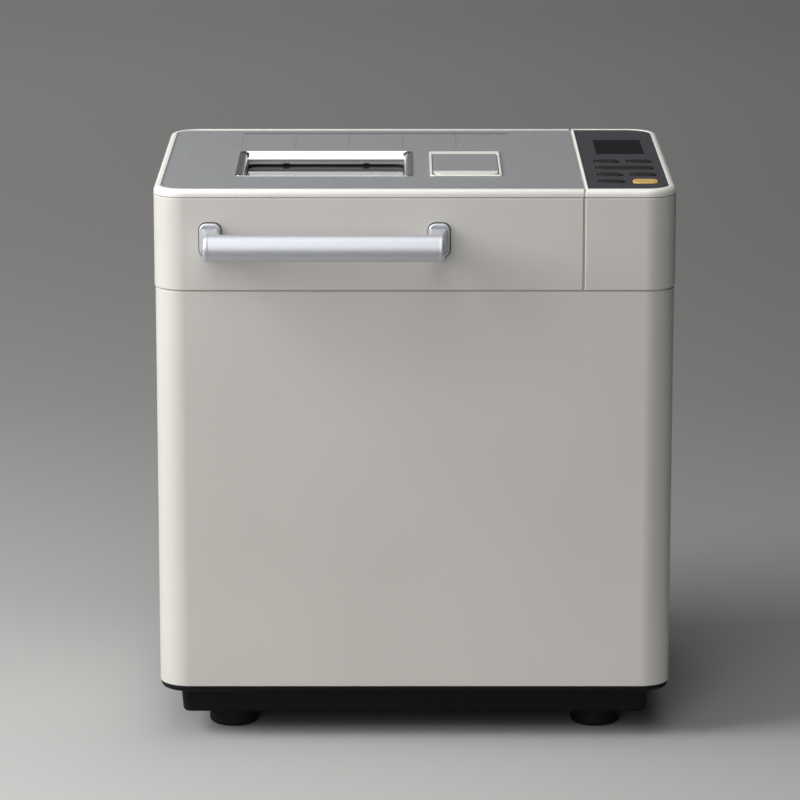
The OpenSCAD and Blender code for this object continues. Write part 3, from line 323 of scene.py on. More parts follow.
def top_metal():
    """Satin metal with a fine speckle, and the faint ruled chart at the back of the lid."""
    material, tree, shader, coords = new_material("top_metal")
    speckle = noise(tree, coords, 0.0011, 2.0, 0.6)
    plain = tint(tree, speckle, srgb(142, 144, 146), srgb(166, 168, 170))
    mixed = tree.nodes.new("ShaderNodeMix")
    mixed.data_type = "RGBA"
    bare, ruled, colour = mixed.inputs[6], mixed.inputs[7], mixed.outputs[2]
    tree.links.new(chart_lines(tree, coords), mixed.inputs["Factor"])
    tree.links.new(plain, bare)
    ruled.default_value = srgb(104, 106, 109)
    tree.links.new(colour, shader.inputs["Base Color"])
    tree.links.new(spread(tree, speckle, 0.48, 0.6), shader.inputs["Roughness"])
    shader.inputs["Metallic"].default_value = 0.3
    bump(tree, shader, speckle, 0.00002, 0.5)
    return material


def window_glass():
    """Smoke-tinted glass."""
    material, tree, shader, coords = new_material("window_glass")
    film = noise(tree, coords, 0.02, 2.0)
    tree.links.new(tint(tree, film, (0.055, 0.05, 0.047, 1), (0.07, 0.064, 0.06, 1)),
                   shader.inputs["Base Color"])
    tree.links.new(spread(tree, film, 0.02, 0.05), shader.inputs["Roughness"])
    shader.inputs["Transmission Weight"].default_value = 0.5
    shader.inputs["IOR"].default_value = 1.52
    return material


paint = casing_paint()
metal_top = top_metal()
glass = window_glass()
white = grained("rim_white", srgb(233, 231, 226), srgb(238, 236, 231), 0.0009, (0.26, 0.34),
                0.00001)
bar_metal = grained("bar_aluminium", srgb(206, 208, 214), srgb(216, 218, 224), 0.0004,
                    (0.46, 0.54), 0.000004, metallic=0.85)
chrome = grained("chrome", srgb(220, 221, 224), srgb(228, 229, 231), 0.03, (0.16, 0.22),
                 metallic=1.0)
panel_grey = grained("panel_grey", srgb(62, 62, 66), srgb(70, 70, 74), 0.0006, (0.5, 0.6),
                     0.00002, shine=0.15)
display_dark = grained("display_dark", srgb(10, 13, 17), srgb(14, 17, 21), 0.01, (0.3, 0.36),
                       shine=0.04)
key_black = grained("key_black", srgb(32, 31, 32), srgb(40, 39, 40), 0.0006, (0.5, 0.6),
                    0.00002, shine=0.2)
key_amber = grained("key_amber", srgb(196, 164, 92), srgb(206, 174, 102), 0.0008, (0.4, 0.5),
                    0.00001, shine=0.3)
black_plastic = grained("black_plastic", srgb(12, 13, 15), srgb(18, 19, 22), 0.0006,
                        (0.5, 0.62), 0.00004, shine=0.15)
rubber = grained("foot_rubber", srgb(15, 16, 18), srgb(22, 23, 25), 0.0009, (0.66, 0.8),
                 0.00004, shine=0.25)
sheet_steel = grained("sheet_steel", srgb(168, 170, 172), srgb(186, 188, 190), 0.0015,
                      (0.28, 0.42), 0.00001, metallic=0.9)
bright_steel = grained("bright_steel", srgb(188, 190, 192), srgb(204, 206, 208), 0.001,
                       (0.2, 0.32), metallic=1.0)
hinge_steel = grained("hinge_steel", srgb(58, 58, 61), srgb(72, 72, 75), 0.001, (0.36, 0.5),
                      0.00001, metallic=0.6)
motor_steel = grained("motor_steel", srgb(120, 121, 124), srgb(138, 139, 142), 0.001,
                      (0.34, 0.46), metallic=0.8)
ledge_grey = grained("ledge_grey", srgb(112, 113, 116), srgb(124, 125, 128), 0.0006, (0.4, 0.5),
                     0.000004, metallic=0.7)
pulley_plastic = grained("pulley_plastic", srgb(214, 208, 194), srgb(224, 219, 206), 0.001,
                         (0.4, 0.52), 0.00002)
nonstick = grained("nonstick", srgb(50, 50, 53), srgb(64, 64, 67), 0.0007, (0.34, 0.48),
                   0.00003, coat=0.2)
bronze = grained("bronze", srgb(168, 132, 78), srgb(186, 150, 94), 0.0008, (0.36, 0.5),
                 0.00002, metallic=0.9)
element_sheath = grained("element_sheath", srgb(88, 78, 70), srgb(112, 100, 92), 0.003,
                         (0.36, 0.52), metallic=0.8)
board_green = grained("board_green", srgb(34, 84, 52), srgb(44, 98, 62), 0.002, (0.3, 0.42))

FINISHES = {
    "casing_paint": paint, "rim_white": white, "top_metal": metal_top,
    "bar_aluminium": bar_metal, "chrome": chrome, "panel_grey": panel_grey,
    "display_dark": display_dark, "key_black": key_black, "key_amber": key_amber,
    "window_glass": glass, "black_plastic": black_plastic, "foot_rubber": rubber,
    "sheet_steel": sheet_steel, "bright_steel": bright_steel, "hinge_steel": hinge_steel,
    "motor_steel": motor_steel, "pulley_plastic": pulley_plastic, "nonstick": nonstick,
    "bronze": bronze, "element_sheath": element_sheath, "board_green": board_green,
}


WELD_GAP = 0.002 * MM
EDGE_ROUND, EDGE_ANGLE = 0.3 * MM, 32.0


def dress_solids():
    """Each solid takes the finish of its slot, and its sharp edges a small round."""
    slots = {p["node"]: p["material_slot"] for p in frame["record"]["subparts"]}
    for name, obj in frame["nodes"].items():
        obj.data.materials.clear()
        obj.data.materials.append(FINISHES[slots[name]])
        obj.data.shade_smooth()
        weld = obj.modifiers.new("weld", "WELD")
        weld.merge_threshold = WELD_GAP
        edge = obj.modifiers.new("edge", "BEVEL")
        edge.width = EDGE_ROUND
        edge.segments = 2
        edge.limit_method = "ANGLE"
        edge.angle_limit = np.radians(EDGE_ANGLE)
        edge.use_clamp_overlap = True
        even_normals(obj)


dress_solids()


# ---- Casing and control box ----

def casing():
    """Steel wrap: the sheet's section, with rounded edges, carried round the casing."""
    low, high, r = CASING_Z[0], CASING_Z[1], CASING_WALL / 2
    line = section(arc((r, low + r), r, 270, 180, 4), arc((r, high - r), r, 180, 0, 8),
                   arc((r, low + r), r, 0, -90, 4)[:-1])
    shape = carried(CASING, (CASING_R,) * 4, line, closed=True, steps=CORNER_STEPS)
    skin = piece("casing_skin", shape, paint, "base", ["outer_casing"],
                 normals=False)
    return carve(skin, cord_hole())


def cord_hole():
    """Cylinder through the back wall round the cord's bush: x = r cos a, z = -r sin a."""
    a = np.linspace(0, 2 * np.pi, 32, endpoint=False)
    y = CASING[3] + np.array([-GLAND_REACH, GLAND_REACH])[:, None]
    return shell(np.stack([GLAND_X + GLAND_R * np.cos(a) + 0 * y, y + 0 * a,
                           GLAND_Z - GLAND_R * np.sin(a) + 0 * y], -1))


def band_line():
    """Section of the lid's band and the control box: outer face, soft edges, inner face."""
    low, high = BAND_Z
    r = BAND_SOFT
    return section(arc((r, low + r), r, 270, 180, 4), (0, high - 0.9),
                   arc((r, high - r), r, 180, 90, 3), (BAND_WALL, high), (BAND_WALL, low))


def lid_shell():
    """Painted band of the lid: the band's section carried round it, with round corners at the
    left and nearly square ones at the split."""
    shape = carried(LID, (TOP_R, SPLIT_R, SPLIT_R, TOP_R), band_line(), closed=True,
                    steps=CORNER_STEPS)
    return piece("lid_shell", shape, paint, "lid", ["lid_band"])


def control_shell():
    """Painted box beside the lid: the band's section carried round it, with round corners at
    the right."""
    shape = carried(CONTROL, (BOX_R, TOP_R, TOP_R, BOX_R), band_line(), closed=True,
                    steps=CORNER_STEPS)
    return piece("control_shell", shape, paint, "base", ["control_box"])


def rim_line():
    """Section of the white rim: round outer shoulder, level top, and the step to the panel."""
    low = BAND_Z[1]
    return section((0.15, low + 0.5), (0, low + 0.65), (0, RIM_TOP - RIM_ROUND),
                   arc((RIM_ROUND, RIM_TOP - RIM_ROUND), RIM_ROUND, 180, 90, 8)[1:],
                   arc((RIM_W - 0.3, RIM_TOP - 0.3), 0.3, 90, 0, 3),
                   (RIM_W, PANEL_TOP - PANEL_T), (RIM_W * 2, PANEL_TOP - PANEL_T),
                   (RIM_W * 2, low), (0.6, low), (0.6, low + 0.4))


def lid_trim():
    """The rim's section carried along the back, where it is wider, the left side and the
    front of the lid."""
    line = rim_line()
    _, x1, y0, y1 = LID
    wide = np.interp(line[:, 0], (0, RIM_ROUND, RIM_W, 2 * RIM_W),
                     (0, RIM_ROUND, BACK_RIM_W, BACK_RIM_IN))
    insets = np.stack([line[:, 0]] * 3 + [wide], -1)
    flat = loops(LID, (TOP_R, SQUARE_R, SQUARE_R, TOP_R), insets, steps=CORNER_STEPS)
    corner = CORNER_STEPS + 1
    back, front = flat[:, 3 * corner:], flat[:, :corner]
    ends = np.full((len(line), 1), x1)
    first = np.concatenate([ends, (y1 - wide[:, None])], 1)[:, None]
    last = np.concatenate([ends, (y0 + line[:, :1])], 1)[:, None]
    path = np.concatenate([first, back, front, last], 1)
    z = np.broadcast_to(line[:, 1][:, None, None], path.shape[:2] + (1,))
    grid = np.concatenate([path, z], -1)
    shape = shell(grid, wrap_rows=True, wrap_cols=False)
    return piece("lid_trim", shape, white, "lid", ["lid_rim"])


def control_trim():
    """The rim's section carried round the control box, narrow along the split."""
    line = rim_line()
    strip = np.interp(line[:, 0], (0, 0.6, RIM_W, 2 * RIM_W), (0, 0.6, STRIP_W, STRIP_IN))
    insets = np.stack([strip] + [line[:, 0]] * 3, -1)
    shape = carried(CONTROL, (STRIP_R, TOP_R, TOP_R, STRIP_R), line, closed=True,
                    insets=insets, steps=CORNER_STEPS)
    return piece("control_trim", shape, white, "base", ["control_rim"])


TRAY_Z = (12.0, 31.0)
TRAY_INSET, TRAY_DRAFT, TRAY_WALL = 11.3, 1.4, 2.5
TRAY_R = 17.3
TRAY_ROUND = 2.5
FLANGE_Z, FLANGE_IN, FLANGE_ROUND = 27.4, 0.5, 2.4
POD = (-46.0, 92.0, -75.0, 75.0)
POD_Z = 8.5
TRAY_POSTS = [(x, y) for x in (-80.4, 80.4) for y in (-82.8, 82.8)]
POST_R, POST_BORE, POST_TOP = 6.0, 2.2, 50.0


def tube(x, y, low, high, outer, inner, steps=24):
    """Upright tube: the ring of radius outer and inner, carried once round (x, y)."""
    a = np.linspace(0, 2 * np.pi, steps, endpoint=False)
    r = np.array([outer, outer, inner, inner])[:, None]
    z = np.array([low, high, high, low])[:, None]
    grid = np.stack([x + r * np.cos(a), y + r * np.sin(a), np.broadcast_to(z, (4, steps))], -1)
    return shell(grid, wrap_rows=True)


def tray():
    """Black base: round lower edge, walls that lean out to the flange, pod and screw posts."""
    low, top = TRAY_Z
    foot = TRAY_INSET + TRAY_DRAFT
    line = section(arc((foot + TRAY_ROUND, low + TRAY_ROUND), TRAY_ROUND, 270, 180, 6),
                   (TRAY_INSET + 0.4, FLANGE_Z - 0.8), (TRAY_INSET - 0.6, FLANGE_Z),
                   arc((FLANGE_IN + FLANGE_ROUND, FLANGE_Z + FLANGE_ROUND), FLANGE_ROUND,
                       270, 180, 6),
                   (FLANGE_IN, top), (TRAY_INSET + TRAY_WALL, top),
                   (TRAY_INSET + TRAY_WALL, low + TRAY_WALL))
    dish = carried(CASING, (TRAY_R,) * 4, line)
    pod = carried(POD, (TRAY_R,) * 4, section((1.5, POD_Z), (0.4, POD_Z + 0.5), (0, POD_Z + 1.5),
                                              (0, low + 0.4)))
    posts = [tube(x, y, low + TRAY_WALL - 0.2, POST_TOP, POST_R, POST_BORE)
             for x, y in TRAY_POSTS]
    return piece("tray_moulding", joined(dish, pod, *posts), black_plastic, "base",
                 ["base_tray"])


def seam_lips():
    """Painted lips just inside the joints: round the casing's top, and along the split."""
    low, high = CASING_Z[1] - 1.0, BAND_Z[0] - 0.15
    ring = carried(CASING, (CASING_R,) * 4,
                   section((LIP_IN, low), (LIP_IN, high), (LIP_IN + LIP_T, high),
                           (LIP_IN + LIP_T, low)), closed=True, steps=CORNER_STEPS)
    x0, x1 = LID[1] + FIN_GAP, CONTROL[0] - FIN_GAP
    y0, y1 = CONTROL[2] + LIP_IN, CONTROL[3] - LIP_IN
    fin = carried((x0, x1, y0, y1), (0.1,) * 4,
                  section((0.1, BAND_Z[0] + 0.2), (0, BAND_Z[0] + 0.3), (0, PANEL_TOP - 0.8),
                          (0.1, PANEL_TOP - 0.7)), steps=2)
    return piece("seam_lips", joined(ring, fin), paint, "base")


LINER_TOP = 262.8
CORNER_PLATE = 16.0


def liner_corners():
    """Steel plates on the liner that close its rounded corners beside the split: two small
    rectangles whose section has a soft upper edge."""
    line = section((0, LINER_TOP + 0.05), (0, LINER_TOP + 0.8), (0.2, LINER_TOP + 0.9))
    x1, gap = LID[1], BAND_WALL + 0.2
    plates = [carried((x1 - CORNER_PLATE, x1 - gap, y0, y1), (0.3,) * 4, line, steps=2)
              for y0, y1 in ((LID[2] + gap, LID[2] + CORNER_PLATE),
                             (LID[3] - CORNER_PLATE, LID[3] - gap))]
    return piece("liner_corners", joined(*plates), sheet_steel, "lid")


casing()
lid_shell()
control_shell()
lid_trim()
control_trim()
tray()
seam_lips()
liner_corners()


# ---- Window ----

WINDOW_X, WINDOW_Y = -51.25, -18.5
WINDOW_W, WINDOW_D, WINDOW_R = 100.5, 86.0, 4.0
BEZEL_TOP = 316.8
BREAK_IN, BREAK_SIDE, BREAK_Z = 1.7, 4.2, 315.7
SLOPE_IN, SLOPE_SIDE, SLOPE_Z = 4.5, 4.9, 313.3
WALL_IN, WALL_Z = 5.4, 309.7
GLASS_Z = (306.8, 309.0)
PANE_SIDE, PANE_END, PANE_R, GROUND_EDGE = 2.0, 4.0, 8.0, 0.5
BEAD_SIDE, BEAD_R, BEAD_H = 4.8, 6.0, 0.95
TAB_SIDE, TAB_W, TAB_D, TAB_H = 23.3, 4.0, 2.1, 1.6
# The dispenser's frame, and how far bezel and frame lap over the edge of the top plate
FRAME = (8.7, 49.3, -61.5, 21.2)
BEZEL_LAP, FRAME_LAP = 0.4, 1.1


def window_box(side=0.0, end=0.0):
    """Rectangle about the window's middle, in from the bezel's outline by side and end."""
    return (WINDOW_X - WINDOW_W / 2 + side, WINDOW_X + WINDOW_W / 2 - side,
            WINDOW_Y - WINDOW_D / 2 + end, WINDOW_Y + WINDOW_D / 2 - end)


def bezel():
    """Bright frame with mitred corners: the front and back arms fall inwards in two slopes, the
    side arms fall gently and then steeply to the same heights."""
    low = GLASS_Z[1] + 0.1
    line = section((0.25, PANEL_TOP), arc((0.3, BEZEL_TOP - 0.3), 0.3, 180, 90, 4),
                   (0.6, BEZEL_TOP), (BREAK_IN, BREAK_Z), (SLOPE_IN, SLOPE_Z),
                   (SLOPE_IN, low), (SLOPE_IN - 1.5, low), (SLOPE_IN - 2.0, PANEL_TOP - 3))
    side = np.interp(line[:, 0], (0, 0.6, BREAK_IN, SLOPE_IN),
                     (0, 0.6, BREAK_SIDE, SLOPE_SIDE))
    side[-2:] = (3.6, 1.9)      # the hidden underside
    insets = np.stack([side, side, line[:, 0], line[:, 0]], -1)
    shape = carried(window_box(), (WINDOW_R,) * 4, line, closed=True, insets=insets, steps=16)
    return piece("window_frame", shape, chrome, "lid", ["window_bezel"])


def inner_wall():
    """Grey satin wall that falls steeply from the bezel's slope to the seal."""
    line = section((SLOPE_IN - 0.2, WALL_Z - 0.9), (SLOPE_IN - 0.2, SLOPE_Z + 0.05),
                   (WALL_IN, WALL_Z), (WALL_IN, WALL_Z - 0.9))
    side = np.interp(line[:, 0], (SLOPE_IN - 0.2, WALL_IN),
                     (SLOPE_SIDE - 0.2, SLOPE_SIDE + 0.3))
    insets = np.stack([side, side, line[:, 0], line[:, 0]], -1)
    shape = carried(window_box(), (WINDOW_R,) * 4, line, closed=True, insets=insets, steps=8)
    return piece("window_ledge", shape, ledge_grey, "lid")


def top_plate():
    """Metal plate of the lid: an upright edge carried round the inside of the rim, closed by
    level faces and cut open under the bezel and the dispenser."""
    low = PANEL_TOP - PANEL_T
    edge = section((0, low), (0, PANEL_TOP))
    x0, x1, y0, y1 = LID
    inner = (x0 + RIM_W, x1 - 0.1, y0 + RIM_W, y1 - RIM_W)
    r = TOP_R - RIM_W
    plate = piece("top_plate", carried(inner, (r, 0.3, 0.3, r), edge, steps=16), metal_top,
                  "lid", ["lid_top_panel"], normals=False)
    through = section((0, low - 3), (0, PANEL_TOP + 3))
    dx0, dx1, dy0, dy1 = FRAME
    opening = (dx0 + FRAME_LAP, dx1 - FRAME_LAP, dy0 + FRAME_LAP, dy1 - FRAME_LAP)
    return carve(plate, carried(window_box(BEZEL_LAP, BEZEL_LAP), (WINDOW_R - BEZEL_LAP,) * 4,
                                through),
                 carried(opening, (1.0,) * 4, through))


def glass_pane():
    """Glass under the bezel's collar: a section with two ground edges carried round a rounded
    rectangle."""
    low, high = GLASS_Z
    box = window_box(PANE_SIDE, PANE_END)
    line = section((GROUND_EDGE, low), (0, low + GROUND_EDGE), (0, high - GROUND_EDGE),
                   (GROUND_EDGE, high))
    return piece("window_pane", carried(box, (PANE_R,) * 4, line), glass, "lid",
                 ["window_glass"])


def pane_seal():
    """Black rubber bead along the foot of the bezel's wall, with two locating tabs."""
    z = GLASS_Z[1]
    low = z + 0.02
    box = window_box(BEAD_SIDE, WALL_IN)
    bead = section((-0.4, low), (-0.4, z + BEAD_H), arc((0.2, z + BEAD_H - 0.25), 0.35, 90, 0, 3),
                   (0.7, low))
    ring = carried(box, (BEAD_R,) * 4, bead, closed=True)
    tab = section((0, low), (0, z + TAB_H - 0.4), (0.4, z + TAB_H))
    back = box[3] + 0.2
    tabs = [carried((x - TAB_W / 2, x + TAB_W / 2, back - TAB_D, back), (0.7,) * 4, tab, steps=4)
            for x in (WINDOW_X - TAB_SIDE, WINDOW_X + TAB_SIDE)]
    return piece("window_bead", joined(ring, *tabs), rubber, "lid")


bezel()
inner_wall()
top_plate()
glass_pane()
pane_seal()


# ---- Dispenser ----

FRAME_Z = (313.4, 317.2)
ARM_BACK, ARM_FRONT, ARM_SIDE, FRAME_R = 9.0, 2.5, 1.6, 2.0
COVER = (10.4, 47.6, -58.7, 11.9)
COVER_RADII = (9.0, 9.0, 0.5, 0.5)
COVER_T, COVER_ROUND = 2.0, 0.9
LIP_D = 12.0


def dispenser_ring():
    """White frame: the section of a side arm, whose inner half is moved in as far as the front
    and the back arm are wide."""
    low, high = FRAME_Z
    across = (0, 1.1, ARM_SIDE - 0.4, ARM_SIDE - 0.2, ARM_SIDE)
    line = section((1.0, low), (1.0, PANEL_TOP), (0, PANEL_TOP), (0, high - 0.4),
                   arc((0.4, high - 0.4), 0.4, 180, 90, 3), (across[2], high),
                   (across[3], high - 0.2), (across[4], low))
    front, back = (np.interp(line[:, 0], across, (0, 1.1, width - 0.2, width, width))
                   for width in (ARM_FRONT, ARM_BACK))
    insets = np.stack([line[:, 0], line[:, 0], front, back], -1)
    shape = carried(FRAME, (FRAME_R,) * 4, line, closed=True, insets=insets)
    return piece("dispenser_ring", shape, white, "lid", ["dispenser_frame"])


def cover():
    """White flap with round front corners and a soft upper edge."""
    low, high = FRAME_Z[1] - COVER_T, FRAME_Z[1] - 0.15
    line = section((0.4, low), (0, low + 0.4),
                   arc((COVER_ROUND, high - COVER_ROUND), COVER_ROUND, 180, 90, 5))
    return piece("dispenser_lid", carried(COVER, COVER_RADII, line), white,
                 "dispenser_cover", ["dispenser_cover"])


def cover_plate():
    """Thin metal plate laid on the flap behind its lip: a rounded rectangle with a bevel."""
    x0, x1, y0, y1 = COVER
    high = FRAME_Z[1]
    line = section((0, high - 0.6), (0, high - 0.2), (0.2, high))
    shape = carried((x0 + 0.05, x1 - 0.05, y0 + LIP_D, y1 - 0.2), (0.8,) * 4, line, steps=6)
    return piece("dispenser_plate", shape, metal_top, "dispenser_cover")


def cover_shade_filler():
    """Dark rubber filler put in the gaps between the frame's square corners and the flap's round
    ones as painted shade: an outer and an inner rounded rectangle, each at two heights, joined
    round."""
    low, high = FRAME_Z[1] - COVER_T, FRAME_Z[1] - 0.5
    x0, x1, y0, y1 = COVER
    outer = loops((x0 - 0.25, x1 + 0.25, y0 - 0.25, y1 + 0.25), (1.0,) * 4, [0, 0])
    inner = loops((x0 - 0.1, x1 + 0.1, y0 - 0.1, y1 + 0.1), COVER_RADII, [0, 0])
    flat = np.concatenate([outer, inner])
    z = np.array([low, high, high, low])[:, None, None]
    grid = np.concatenate([flat, np.broadcast_to(z, flat.shape[:2] + (1,))], -1)
    return piece("dispenser_shade_filler", shell(grid, wrap_rows=True), rubber, "lid")


dispenser_ring()
cover()
cover_plate()
cover_shade_filler()


# ---- Handle ----

def turned(centre, line, steps=64):
    """A bar along X: each (x, radius) of the line becomes a circle y = r cos a, z = r sin a."""
    a = np.linspace(0, 2 * np.pi, steps, endpoint=False)
    x = np.broadcast_to(line[:, :1], (len(line), steps))
    y, z = line[:, 1:] * np.cos(a), line[:, 1:] * np.sin(a)
    return shell(np.stack([x, y, z], -1) + np.asarray(centre))


HANDLE_X, HANDLE_Y, HANDLE_Z = -50.0, -134.0, 288.8
HANDLE_L, HANDLE_D = 132.7, 15.0
END_BAND, END_ROUND = 3.2, 1.9
GROOVE_W, GROOVE_D = 0.7, 0.3
POST_SIDE = 61.85
STEM_W, STEM_H, STEM_R, STEM_REACH = 8.8, 12.6, 1.6, (0.9, 26.0)
FLARE, FLARE_REACH, LEAN_REACH = 0.9, 8.0, 14.0
PLATE_OUT = 1.6
PLATE_W, PLATE_H, PLATE_T, PLATE_R = 12.0, 18.8, 2.0, 4.0
# Sizes of the dark rings round the handle's plates, which are painted shade for the gap round
# each plate
SHADE_RING_OUT, SHADE_RING_R = 0.45, 4.4
LID_FRONT = LID[2]


def handle_bar():
    """Bar with softly rounded ends and a fine groove behind each end band."""
    half, r = HANDLE_L / 2, HANDLE_D / 2
    groove = half - END_BAND
    end = section((groove - GROOVE_W / 2, r), (groove, r - GROOVE_D), (groove + GROOVE_W / 2, r),
                  arc((half - END_ROUND, r - END_ROUND), END_ROUND, 90, 0, 8))
    line = section(end[::-1] * (-1, 1), end)
    return piece("handle_grip", turned((HANDLE_X, HANDLE_Y, HANDLE_Z), line), bar_metal,
                 "lid", ["handle_bar"])


def facing(centre, line, w, h, r, steps=10):
    """A rounded rectangle w by h in the XZ plane, its section (inset, reach) towards -Y."""
    flat = loops((-w / 2, w / 2, -h / 2, h / 2), (r,) * 4, line[:, 0], steps)
    reach = np.broadcast_to(-line[:, 1][:, None, None], flat.shape[:2] + (1,))
    return np.concatenate([flat[..., :1], reach, flat[..., 1:]], -1) + np.asarray(centre)


def under_posts(line, w, h, r):
    """The same rounded rectangle on the lid's front at the foot of each post."""
    feet = [(HANDLE_X + side * (POST_SIDE + PLATE_OUT), LID_FRONT, HANDLE_Z) for side in (-1, 1)]
    return joined(*(shell(facing(foot, line, w, h, r)) for foot in feet))


def handle_posts():
    """Posts that widen by a square law, and lean outwards, towards their plates."""
    reach = np.linspace(*STEM_REACH, 12)
    growth = FLARE * np.clip((FLARE_REACH - reach) / FLARE_REACH, 0, 1) ** 2
    w, h = STEM_W / 2, STEM_H / 2
    flat = np.stack([loops((-w - g, w + g, -h - g, h + g), (STEM_R,) * 4, [0.0], 6)[0]
                     for g in growth])
    lean = PLATE_OUT * np.clip(1 - reach / LEAN_REACH, 0, 1)[:, None]
    y = np.broadcast_to(LID_FRONT - reach[:, None], flat.shape[:2])
    shapes = [shell(np.stack([flat[..., 0] + HANDLE_X + side * (POST_SIDE + lean), y,
                              flat[..., 1] + HANDLE_Z], -1)) for side in (-1, 1)]
    return piece("handle_stems", joined(*shapes), bar_metal, "lid", ["handle_posts"])


def handle_plates():
    """Rounded plates with a raised bright edge round a recess for the post."""
    line = section((0, 0.5), arc((0.8, PLATE_T - 0.8), 0.8, 180, 90, 5), (1.3, PLATE_T),
                   (1.5, PLATE_T - 0.2), (1.6, PLATE_T - 1.0))
    return piece("handle_plates", under_posts(line, PLATE_W, PLATE_H, PLATE_R), bar_metal,
                 "lid", ["handle_escutcheons"])


def handle_shade_rings():
    """Dark rubber rings between the plates and the lid, each a little larger than its plate, as
    painted shade for the gap round each plate.
    """
    line = section((0, 0), (0, 0.5), (0.15, 0.6))
    shape = under_posts(line, PLATE_W + 2 * SHADE_RING_OUT, PLATE_H + 2 * SHADE_RING_OUT, SHADE_RING_R)
    return piece("handle_shade_rings", shape, rubber, "lid")


handle_bar()
handle_posts()
handle_plates()
handle_shade_rings()


# ---- Keys ----

PANEL_Z = 314.4        # face of the control panel
KEY_TOP = 316.95
KEY_COLUMNS = (110.4, 129.1)
KEY_ROWS = (-77.5, -54.9, -32.3, -9.7)
KEY_W, KEY_D, START_D = 14.2, 10.2, 13.6
KEY_R, KEY_ROLL, KEY_CROWN = 4.2, 0.7, 0.35


def cap(x, y, w, d, lip):
    """Key cap: a rounded block with a lip below the panel, whose top edge rolls over and whose
    face is slightly crowned."""
    low = PANEL_Z - 1.8
    roll = KEY_TOP - KEY_CROWN - 0.5
    line = section((-lip, low), (-lip, low + 1.3), (0, low + 1.4), (0, roll),
                   arc((KEY_ROLL, roll), KEY_ROLL, 180, 100, 5),
                   (2.0, KEY_TOP - 0.12), (3.6, KEY_TOP))
    box = (x - w / 2, x + w / 2, y - d / 2, y + d / 2)
    return carried(box, (KEY_R,) * 4, line, steps=8)


def key_piece(name, x, y, w, d, finish, lip=1.0):
    """A key's cap, which rides on the key's own body and stands for its node."""
    return piece(name + "_cap", cap(x, y, w, d, lip), finish, name, [name])


def keys():
    """Small keys in two columns, the amber one among them, and the long key across both."""
    left, right = KEY_COLUMNS
    for name, x, row in (("menu_key", left, 3), ("crust_key", right, 3), ("loaf_key", left, 1),
                         ("light_key", right, 1), ("stop_key", left, 0)):
        key_piece(name, x, KEY_ROWS[row], KEY_W, KEY_D, key_black)
    key_piece("start_key", right, KEY_ROWS[0], KEY_W, START_D, key_amber)
    key_piece("time_rocker", (left + right) / 2, KEY_ROWS[2], KEY_W + right - left, KEY_D,
              key_black, lip=0.0)


keys()


# ---- Room, lights and camera ----

# Lengths and places in the room are metres in the shared frame.
# Tones of the floor at shares of the way from its first to its last toned line. They are painted
# light: the floor is brightest just in front of the machine and darker towards the back, as the
# lamps' light falls off
FLOOR_PAINTED_FALLOFF_TONES = ((0.0, 0.24), (0.06, 0.45), (0.19, 0.34), (0.37, 0.29), (0.95, 0.30),
               (1.0, 0.30))
TONED_FROM, TONED_TO = -0.4, 2.8
# The side fall is painted light: the key light's falloff across the floor, brighter at the left
FLOOR_SIDE, FLOOR_PAINTED_SIDE_FALL = 0.6, 0.14
FLOOR_HALF, FLOOR_FRONT, COVE_Y, COVE_R = 5.0, -4.0, 3.0, 1.6
FLOOR_GRID = (48, 3)
WORLD_GREY, WORLD_STRENGTH = (0.5, 0.5, 0.5, 1), 0.06
CAMERA_AT, CAMERA_DOWN = (-0.0083, -2.3842, 0.7155), 12.745
SENSOR, LENS = 36.0, 189.0
# Name, place and aim in metres, watts, width and height in metres
LAMPS = (
    ("key_left", (-1.45, -0.42, 1.1), (0, 0, 0.2), 35, (0.9, 1.2)),
    ("top_soft", (-0.2, -0.2, 1.7), (-0.1, -0.05, 0.2), 11.5, (1.3, 1.8)),
    ("front_box", (-0.3, -1.85, 1.05), (-0.05, 0, 0.25), 13.8, (0.9, 1.9)),
    ("back_wash", (-0.3, 2.2, 2.4), (-0.3, 3.8, 0.6), 32, (2.0, 1.0)),
)


def room():
    """A wide floor whose far half turns up into a backdrop: y = r sin t, z = r (1 - cos t)."""
    rows, cols = FLOOR_GRID
    s = np.linspace(0, 1, rows)
    turn = (s - 0.5) * np.pi
    y = np.where(s < 0.5, FLOOR_FRONT + 2 * (COVE_Y - FLOOR_FRONT) * s,
                 COVE_Y + COVE_R * np.sin(turn))
    z = np.where(s < 0.5, 0.0, COVE_R * (1 - np.cos(turn)))
    x = np.linspace(-FLOOR_HALF, FLOOR_HALF, cols)
    grid = np.stack([np.broadcast_to(v, FLOOR_GRID) for v in (x, y[:, None], z[:, None])], -1)
    mesh = bpy.data.meshes.new("studio_floor")
    mesh.from_pydata(grid.reshape(-1, 3).tolist(), [], quads(rows, cols, False, False).tolist())
    mesh.shade_smooth()
    obj = bpy.data.objects.new("studio_floor", mesh)
    bpy.context.scene.collection.objects.link(obj)
    obj.data.materials.append(floor_paper())


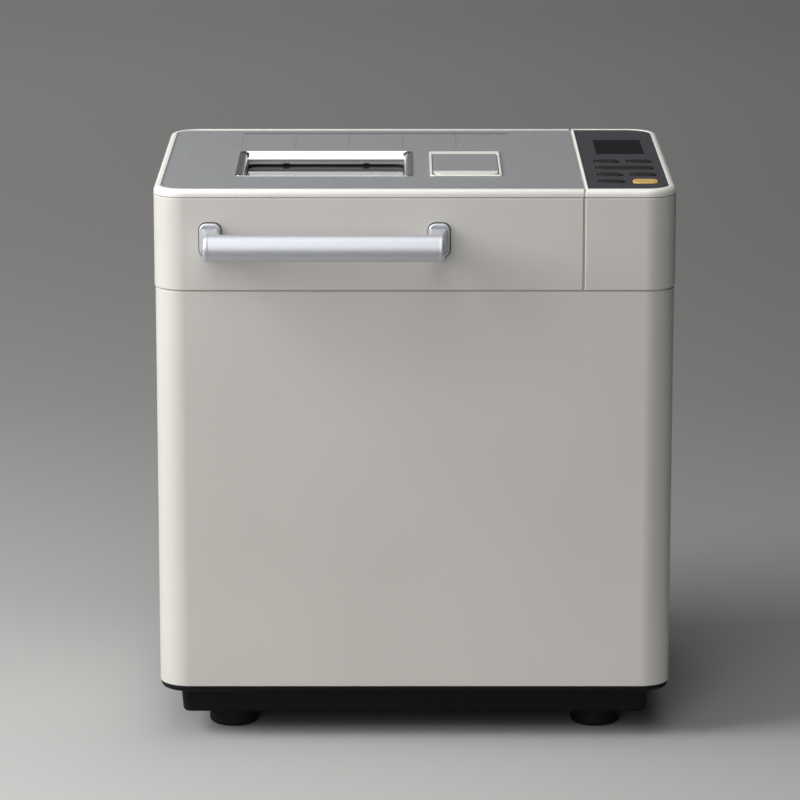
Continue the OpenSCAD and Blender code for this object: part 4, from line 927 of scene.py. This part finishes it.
def floor_paper():
    """Matt paper with painted light: tone(y), a painted falloff of the lamps' light, falls with
    the distance from the front edge, and the side factor 1 - fall x, a painted falloff of the key
    light from the left, falls from left to right."""
    material, tree, shader, coords = new_material("floor_paper")
    split = node(tree, "ShaderNodeSeparateXYZ", Vector=coords)
    far = node(tree, "ShaderNodeMapRange", Value=split.outputs["Y"], From_Min=TONED_FROM,
               From_Max=TONED_TO)
    ramp = tree.nodes.new("ShaderNodeValToRGB")
    stops = ramp.color_ramp.elements
    stops[0].position, stops[1].position = FLOOR_PAINTED_FALLOFF_TONES[0][0], FLOOR_PAINTED_FALLOFF_TONES[-1][0]
    for position, _ in FLOOR_PAINTED_FALLOFF_TONES[1:-1]:
        stops.new(position)
    for stop, (position, tone) in zip(stops, FLOOR_PAINTED_FALLOFF_TONES):
        stop.color = (tone, tone * 0.99, tone * 0.975, 1)
    tree.links.new(far.outputs[0], ramp.inputs["Fac"])
    side = node(tree, "ShaderNodeMapRange", Value=split.outputs["X"], From_Min=-FLOOR_SIDE,
                From_Max=FLOOR_SIDE, To_Min=1 + FLOOR_PAINTED_SIDE_FALL, To_Max=1 - FLOOR_PAINTED_SIDE_FALL)
    toned = node(tree, "ShaderNodeVectorMath", i0=ramp.outputs["Color"])
    toned.operation = "SCALE"
    tree.links.new(side.outputs[0], toned.inputs["Scale"])
    tree.links.new(toned.outputs[0], shader.inputs["Base Color"])
    shader.inputs["Roughness"].default_value = 0.9
    shader.inputs["Specular IOR Level"].default_value = 0.2
    return material


def lamp(name, place_m, aim, power, size):
    """A soft white rectangle that shines from place_m to aim, unseen by the camera."""
    light = bpy.data.lights.new(name, "AREA")
    light.energy = power
    light.shape, light.size, light.size_y = "RECTANGLE", size[0], size[1]
    obj = bpy.data.objects.new(name, light)
    obj.location = place_m
    obj.rotation_euler = (Vector(aim) - Vector(place_m)).to_track_quat("-Z", "Y").to_euler()
    obj.visible_camera = False
    bpy.context.scene.collection.objects.link(obj)


def lights():
    """Key from the left, soft light above and in front, a wash on the backdrop, and a dim,
    even light from all round."""
    for setting in LAMPS:
        lamp(*setting)
    world = bpy.data.worlds.new("room_light")
    world.use_nodes = True
    background = world.node_tree.nodes["Background"]
    background.inputs["Color"].default_value = WORLD_GREY
    background.inputs["Strength"].default_value = WORLD_STRENGTH
    bpy.context.scene.world = world


def camera():
    """Long lens, in front of the machine and a little above it."""
    data = bpy.data.cameras.new("camera")
    data.sensor_width, data.lens = SENSOR, LENS
    data.clip_start, data.clip_end = 0.05, 60.0
    obj = bpy.data.objects.new("camera", data)
    obj.location = CAMERA_AT
    obj.rotation_euler = (np.radians(90 - CAMERA_DOWN), 0, 0)
    bpy.context.scene.collection.objects.link(obj)
    bpy.context.scene.camera = obj


room()
lights()
camera()
bpy.context.scene.view_settings.view_transform = "Standard"
